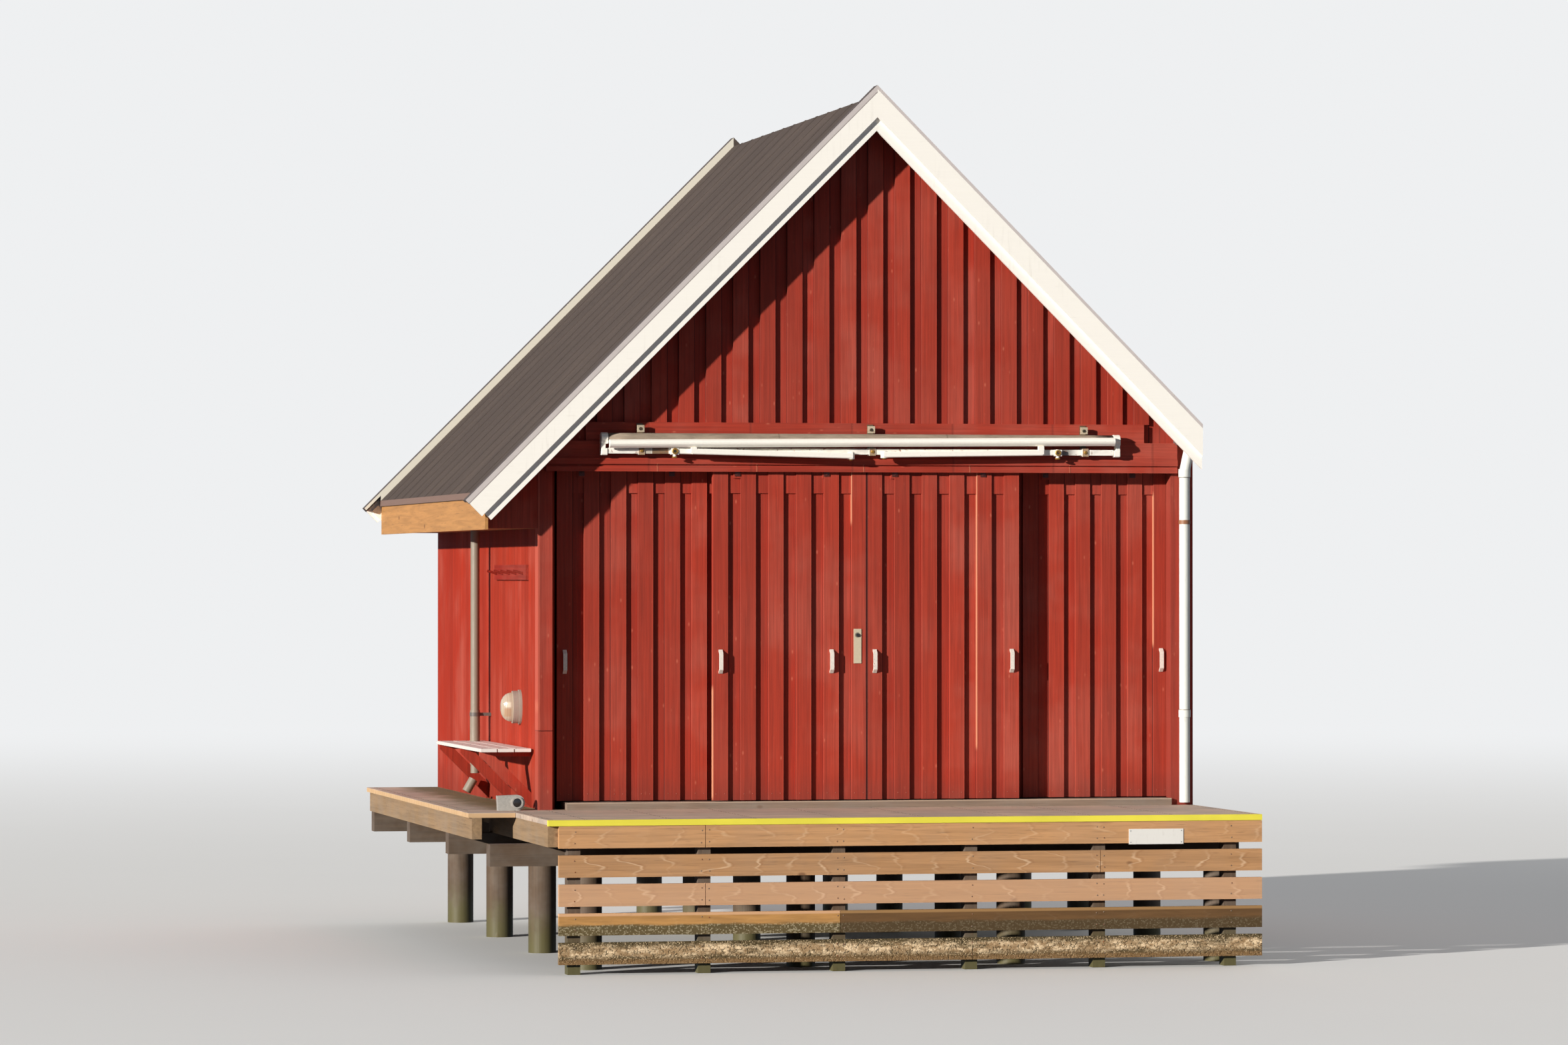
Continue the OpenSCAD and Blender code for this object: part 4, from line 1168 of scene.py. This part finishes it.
        piece("awning_head_bolts", mesh_of("awning_head_bolts", build_heads),
              metal("dark_bolts", srgb(84, 78, 62), 0.45, 0.4, 90.0))
        piece("awning_bolts", mesh_of("awning_bolts", build_bolts),
              metal("gilt_bolts", fittings.brass, 0.35, 0.35, 90.0))

    def brackets(self, fittings):
        """Pale heads, a cream torsion bar and rusting uprights."""
        finish = Finish("bracket_parts", fittings.arms)
        # the torsion bar: mostly cream, with old sleeves beside the shoulders
        x = finish.x
        finish.lay(srgb(136, 110, 84), finish.band(x, -1.600, -1.480, 0.004))
        finish.lay(srgb(204, 194, 178), finish.band(x, -1.655, -1.604, 0.003))
        finish.lay(srgb(108, 102, 98), finish.fall(x, 1.40, 1.53), finish.ease(x, 1.37, 1.38))
        for centre in AWNING_CLAMPS:
            finish.lay(srgb(150, 112, 62), finish.band(x, centre - 0.021, centre + 0.021,
                                                       0.002), 0.85)
        upright = finish.mix(finish.fall(finish.y, -0.0575, -0.0565), srgb(112, 92, 68),
                             srgb(198, 182, 156))
        finish.lay(upright, finish.ease(finish.z, 2.566, 2.570))
        finish.tone(finish.ease(finish.smear((9.0, 30.0, 30.0), 4.0, 0.65), 0.3, 0.75, 1.06,
                                0.78))
        bloom = finish.bloom(0.38, 26.0)
        finish.lay(bloom["Tint"], bloom["Rust"], 0.8)
        finish.height = bloom["Rust"]
        dress(finish.close(finish.line(bloom["Rust"], 0.3, 0.45), 0.0005, 0.5, specular=0.5),
              "awning_brackets")

    def wind_cloth(self, fittings, left, right):
        """The cloth wound on its roll, with its free edge drawn to the front bar."""
        centre_y, centre_z = self.ROLL
        outer, turns, step, steps, columns = 0.0372, 9, 0.0016, 30, 22

        def path(x):
            """The cloth's course at x. It leaves the roll further down at left."""
            out, up = 0.0423, 0.001 - (right - x) * self.DROP
            leave = math.atan2(up, out) + math.acos((outer + 0.0004) / math.hypot(out, up))
            course = []
            for i in range(turns * steps + 1):
                angle = leave + 2 * math.pi * (turns - i / steps)
                radius = outer - step * (turns - i / steps)
                course.append((centre_y - radius * math.cos(angle),
                               centre_z + radius * math.sin(angle)))
            start, end = course[-1], (centre_y - out, centre_z + up)
            for i in range(1, 6):
                course.append((start[0] + (end[0] - start[0]) * i / 5,
                               start[1] + (end[1] - start[1]) * i / 5))
            return course

        middle = path((left + right) / 2)
        chance = random.Random(19)
        waves = [(chance.uniform(0.6, 2.6), chance.uniform(0, 6.28)) for _ in range(4)]

        def build(shape):
            grid = []
            for c in range(columns + 1):
                x = left + (right - left) * c / columns
                swell = sum(math.sin(f * x * 2.2 + p) for f, p in waves) * 0.00016
                row = []
                for y, z in path(x):
                    dy, dz = y - centre_y, z - centre_z
                    grow = 1 + swell / max(0.02, math.hypot(dy, dz))
                    row.append(shape.verts.new((x, FRONT_Y + centre_y + dy * grow,
                                                DECK_Z + centre_z + dz * grow)))
                grid.append(row)
            for a, b in zip(grid, grid[1:]):
                for i in range(len(middle) - 1):
                    shape.faces.new((a[i], b[i], b[i + 1], a[i + 1]))

        made = piece("awning_cloth", mesh_of("awning_cloth", build),
                     self.cloth_finish(fittings, left))
        thick = made.modifiers.new("thickness", "SOLIDIFY")
        thick.thickness = fittings.cloth_thickness
        thick.offset = 0.0
        for face in made.data.polygons:
            face.use_smooth = True
        return made

    def cloth_finish(self, fittings, left):
        """Woven cloth with stains, and a seam across each width."""
        finish = Finish("awning_cloth", fittings.cloth)
        x, y, z = finish.in_frame.values()
        finish.height = finish.times(
            finish.calc("SINE", finish.times(x, 5200.0)),
            finish.calc("SINE", finish.times(finish.calc("ADD", z, y), 5200.0)))
        stain = finish.smear((6.0, 30.0, 30.0), 4.0, 0.65)
        finish.tone(finish.ease(stain, 0.3, 0.75, 1.12, 0.72))
        widths = finish.boards("x", left - RIDGE_X, 1.23, 1.0)
        seam = finish.calc("ABSOLUTE", finish.less(widths["Across"], 0.5))
        finish.lay(srgb(96, 84, 70), finish.ease(seam, 0.492, 0.5), 0.5)
        return finish.close(0.85, 0.0003, 0.35, specular=0.2)


class BOATHOUSE_OT_bench(bpy.types.Operator):
    """Finish the bench's slats"""
    bl_idname = "boathouse.bench"
    bl_label = "Bench"

    def execute(self, context):
        dress(white_paint("bench_paint", srgb(232, 222, 214), "y", 0.4), "bench_seat")
        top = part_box("bench_seat")[1].z - DECK_Z + 0.0002
        points = [(at(x + dx, y, top), (0, 0, 1)) for x in (-2.7235, -2.6005, -2.4775)
                  for y in (0.300, 1.190, 2.180) for dx in (-0.030, 0.030)]
        fasteners("bench_screws", points,
                  metal("bench_screws", srgb(150, 140, 130), 0.4, 0.4, 60.0),
                  context.scene.boathouse_fittings.nail_head, 0.0016, seed=14)
        return {"FINISHED"}


class BOATHOUSE_OT_fittings(bpy.types.Operator):
    """Finish the wall lamp and the deck light, and make the bare plate on the fenders"""
    bl_idname = "boathouse.fittings"
    bl_label = "Lamp, light and plate"

    def execute(self, context):
        self.wall_lamp(context.scene.boathouse_fittings)
        self.deck_light()
        self.plate(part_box("fender_boards")[0].y)
        return {"FINISHED"}

    def wall_lamp(self, fittings):
        """Pressed rings in the glass, the lamp holder's shade through it, a painted highlight
        on the glass, and a grey ring.
        """
        finish = Finish("wall_lamp_parts", fittings.dome)
        ring = finish.ease(finish.x, -2.4635, -2.4615)
        smear = finish.noise(finish.point, 22.0, 4.0)
        out = finish.less(LEFT_WALL, finish.x)
        press = finish.calc("SINE", finish.times(out, 420.0))
        finish.tone(finish.line(smear, 0.10, 0.92))
        finish.tone(finish.ease(press, -1.0, 1.0, 0.95, 1.02))
        finish.lay(srgb(170, 126, 84), finish.fall(finish.z, 0.700, 0.706),
                   finish.band(out, 0.078, 0.125, 0.006),
                   finish.ease(finish.z, 0.640, 0.650), 0.5)
        # a painted highlight on the upper part of the glass
        finish.lay(srgb(232, 222, 198), finish.band(finish.z, 0.712, 0.748, 0.008),
                   finish.band(out, 0.080, 0.118, 0.008), 0.7)
        finish.lay(finish.shade(srgb(160, 148, 136), finish.line(smear, 0.2, 0.9)), ring)
        finish.height = finish.line(press, 0.5, smear)
        dress(finish.close(finish.ease(ring, 0.0, 1.0, 0.16, 0.5), 0.0006, 0.5, specular=0.5),
              "wall_lamp")

    def deck_light(self):
        """A grey case with a dark lens."""
        dress(metal("deck_light_case", srgb(176, 172, 164), 0.5, 0.15, 20.0, 0.2),
              "deck_light")

        def build_lens(shape):
            add_turned(shape, [(0.0, 0.0), (0.0, 0.030), (0.003, 0.0298), (0.007, 0.022),
                               (0.009, 0.011), (0.0095, 0.0)], at(-2.556, -0.0459, 0.055),
                       (0, -1, 0), 40)

        glass = Finish("dark_lens")
        film = glass.noise(glass.point, 40.0, 4.0)
        glass.colour = glass.mix(film, srgb(22, 22, 24), srgb(52, 50, 48))
        piece("deck_light_lens", mesh_of("deck_light_lens", build_lens),
              glass.close(glass.ease(film, 0.3, 0.8, 0.08, 0.28), specular=0.6))

    def plate(self, face):
        """A bare plate on the face of the fender boards, with a screw in each corner."""
        low, high = at(1.442, 0, -0.200), at(1.833, 0, -0.094)
        outline = [(face - 0.004, low.z), (face - 0.004, high.z), (face, high.z),
                   (face, low.z)]

        def build_plate(shape):
            add_prism(shape, outline, low.x, high.x, 0.0008)

        piece("bare_plate", mesh_of("bare_plate", build_plate),
              plastic("plate_enamel", srgb(238, 234, 226), 0.3, 0.15))
        points = [(at(x, face - FRONT_Y - 0.0041, z), (0, -1, 0))
                  for x in (1.456, 1.819) for z in (-0.108, -0.186)]
        fasteners("plate_screws", points,
                  metal("plate_screw_steel", srgb(150, 148, 146), 0.35, 0.2, 60.0), 0.008,
                  0.0007, wander=0.0, seed=15)


class BOATHOUSE_OT_stage(bpy.types.Operator):
    """Lay the floor and set the lamps, the camera and the view"""
    bl_idname = "boathouse.stage"
    bl_label = "Stage"

    FLOOR_RADIUS = 900.0
    FLOOR_SIDES = 96
    # the main lamp's direction: turned to the left of the front, and its height
    LAMP_TURN = math.radians(58.5)
    LAMP_RISE = math.radians(13.5)
    LAMP_TINT = (1.0, 0.96, 0.90)
    FILL_FROM = (0.55, 0.65, 0.52)
    FRONT_CAST = (0.52, 0.70, 1.0, 1.0)
    REAR_CAST = (1.0, 0.975, 0.94, 1.0)
    # the eye's place from the ridge line, the front and the deck, and what it looks at
    EYE = (-9.35, -41.0, 1.655)
    AIM = Vector((0.0, 0.0, 3.10))

    def execute(self, context):
        scene = context.scene
        stage = scene.boathouse_stage
        scene.view_settings.view_transform = "Standard"
        self.lay_floor(scene, stage)
        self.light_room(scene, stage)
        self.hang_lamp(scene, stage)
        self.place_camera(scene, stage)
        return {"FINISHED"}

    def lay_floor(self, scene, stage):
        """Seen from far off the floor takes the backdrop's colour; the light that it throws
        back on the house is kept low."""
        def build_floor(shape):
            turns = [2 * math.pi * i / self.FLOOR_SIDES for i in range(self.FLOOR_SIDES)]
            shape.faces.new([shape.verts.new((RIDGE_X + self.FLOOR_RADIUS * math.cos(turn),
                                              self.FLOOR_RADIUS * math.sin(turn), 0.0))
                             for turn in turns])

        floor = bpy.data.objects.new("floor", mesh_of("floor", build_floor))
        scene.collection.objects.link(floor)
        paint = Finish("floor_paint")
        seen = paint.put("ShaderNodeLightPath").outputs["Is Camera Ray"]
        paint.colour = paint.mix(seen, stage.bounce, stage.floor)
        paint.tone(paint.line(paint.noise(paint.point, 0.35), 0.02, 0.99))
        paint.close(0.9, specular=0.1)
        reach = paint.vector_calc("LENGTH", paint.point)["Value"]
        far = paint.times(paint.ease(reach, 7.0, 60.0), seen)
        glow = paint.put("ShaderNodeEmission", {"Color": stage.backdrop, "Strength": 1.0})
        blend = paint.put("ShaderNodeMixShader", {0: far, 1: paint.shader.outputs[0],
                                                  2: glow.outputs[0]})
        paint.fill(paint.tree.nodes["Material Output"], {"Surface": blend.outputs[0]})
        floor.data.materials.append(paint.material)

    def light_room(self, scene, stage):
        """A soft fill from behind and right, so that the other sides show too, and a pale
        backdrop for what the camera sees."""
        scene.world = bpy.data.worlds.new("room")
        scene.world.use_nodes = True
        net = Net(scene.world.node_tree)
        net.tree.nodes.clear()
        rays = net.put("ShaderNodeLightPath").outputs
        toward = net.put("ShaderNodeTexCoord").outputs["Generated"]
        lean = net.vector_calc("DOT_PRODUCT", toward, self.FILL_FROM)["Value"]
        level = net.line(net.most(lean, 0.0), stage.fill, stage.sky)
        # cool from the open sky in front, warmer from behind
        cast = net.mix(net.ease(lean, 0.0, 0.6), self.FRONT_CAST, self.REAR_CAST)
        mirrored = rays["Is Glossy Ray"]
        cast = net.mix(mirrored, cast, stage.sheen)
        level = net.calc("ADD", mirrored, net.times(level, net.less(1.0, mirrored)))
        around = net.put("ShaderNodeBackground", {"Color": cast, "Strength": level})
        backdrop = net.put("ShaderNodeBackground", {"Color": stage.backdrop, "Strength": 1.0})
        seen = net.most(rays["Is Camera Ray"], rays["Is Transmission Ray"])
        joined = net.put("ShaderNodeMixShader", {0: seen, 1: around.outputs[0],
                                                 2: backdrop.outputs[0]})
        net.put("ShaderNodeOutputWorld", {"Surface": joined.outputs[0]})

    def hang_lamp(self, scene, stage):
        lamp = bpy.data.lights.new("main_lamp", "SUN")
        lamp.energy = stage.key
        lamp.angle = stage.softness
        lamp.color = self.LAMP_TINT
        placed = bpy.data.objects.new("main_lamp", lamp)
        scene.collection.objects.link(placed)
        level = math.cos(self.LAMP_RISE)
        toward = Vector((-math.sin(self.LAMP_TURN) * level, -math.cos(self.LAMP_TURN) * level,
                         math.sin(self.LAMP_RISE)))
        placed.rotation_euler = toward.to_track_quat("Z", "Y").to_euler()

    def place_camera(self, scene, stage):
        camera = bpy.data.cameras.new("camera")
        camera.lens = stage.lens
        camera.sensor_width = 36.0
        camera.clip_end = 2000.0
        eye = bpy.data.objects.new("camera", camera)
        scene.collection.objects.link(eye)
        eye.location = at(*self.EYE)
        eye.rotation_euler = (self.AIM - eye.location).to_track_quat("-Z", "Y").to_euler()
        scene.camera = eye


class BOATHOUSE_PT_panel(bpy.types.Panel):
    """Lists the groups of pieces, and the settings that shape them"""
    bl_idname = "BOATHOUSE_PT_panel"
    bl_label = "Boathouse"
    bl_space_type = "VIEW_3D"
    bl_region_type = "UI"
    bl_category = "Boathouse"

    def draw(self, context):
        column = self.layout.column()
        for operator in OPERATORS:
            column.operator(operator.bl_idname)
        for name in SETTINGS:
            box = self.layout.box()
            group = getattr(context.scene, name)
            for key in group.__annotations__:
                box.prop(group, key)


SETTINGS = {
    "boathouse_paint": PaintSettings,
    "boathouse_timber": TimberSettings,
    "boathouse_fittings": FittingSettings,
    "boathouse_stage": StageSettings,
}
OPERATORS = (
    BOATHOUSE_OT_node_groups,
    BOATHOUSE_OT_walls,
    BOATHOUSE_OT_doors,
    BOATHOUSE_OT_roof,
    BOATHOUSE_OT_quay,
    BOATHOUSE_OT_pipes,
    BOATHOUSE_OT_awning,
    BOATHOUSE_OT_bench,
    BOATHOUSE_OT_fittings,
    BOATHOUSE_OT_stage,
)


def register():
    for cls in (*SETTINGS.values(), *OPERATORS, BOATHOUSE_PT_panel):
        bpy.utils.register_class(cls)
    for name, cls in SETTINGS.items():
        setattr(bpy.types.Scene, name, bpy.props.PointerProperty(type=cls))


def unregister():
    for name in SETTINGS:
        delattr(bpy.types.Scene, name)
    for cls in reversed((*SETTINGS.values(), *OPERATORS, BOATHOUSE_PT_panel)):
        bpy.utils.unregister_class(cls)


def main():
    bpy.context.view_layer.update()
    register()
    bpy.ops.boathouse.node_groups()
    bpy.ops.boathouse.walls()
    bpy.ops.boathouse.doors()
    bpy.ops.boathouse.roof()
    bpy.ops.boathouse.quay()
    bpy.ops.boathouse.pipes()
    bpy.ops.boathouse.awning()
    bpy.ops.boathouse.bench()
    bpy.ops.boathouse.fittings()
    bpy.ops.boathouse.stage()


if __name__ == "__main__":
    main()
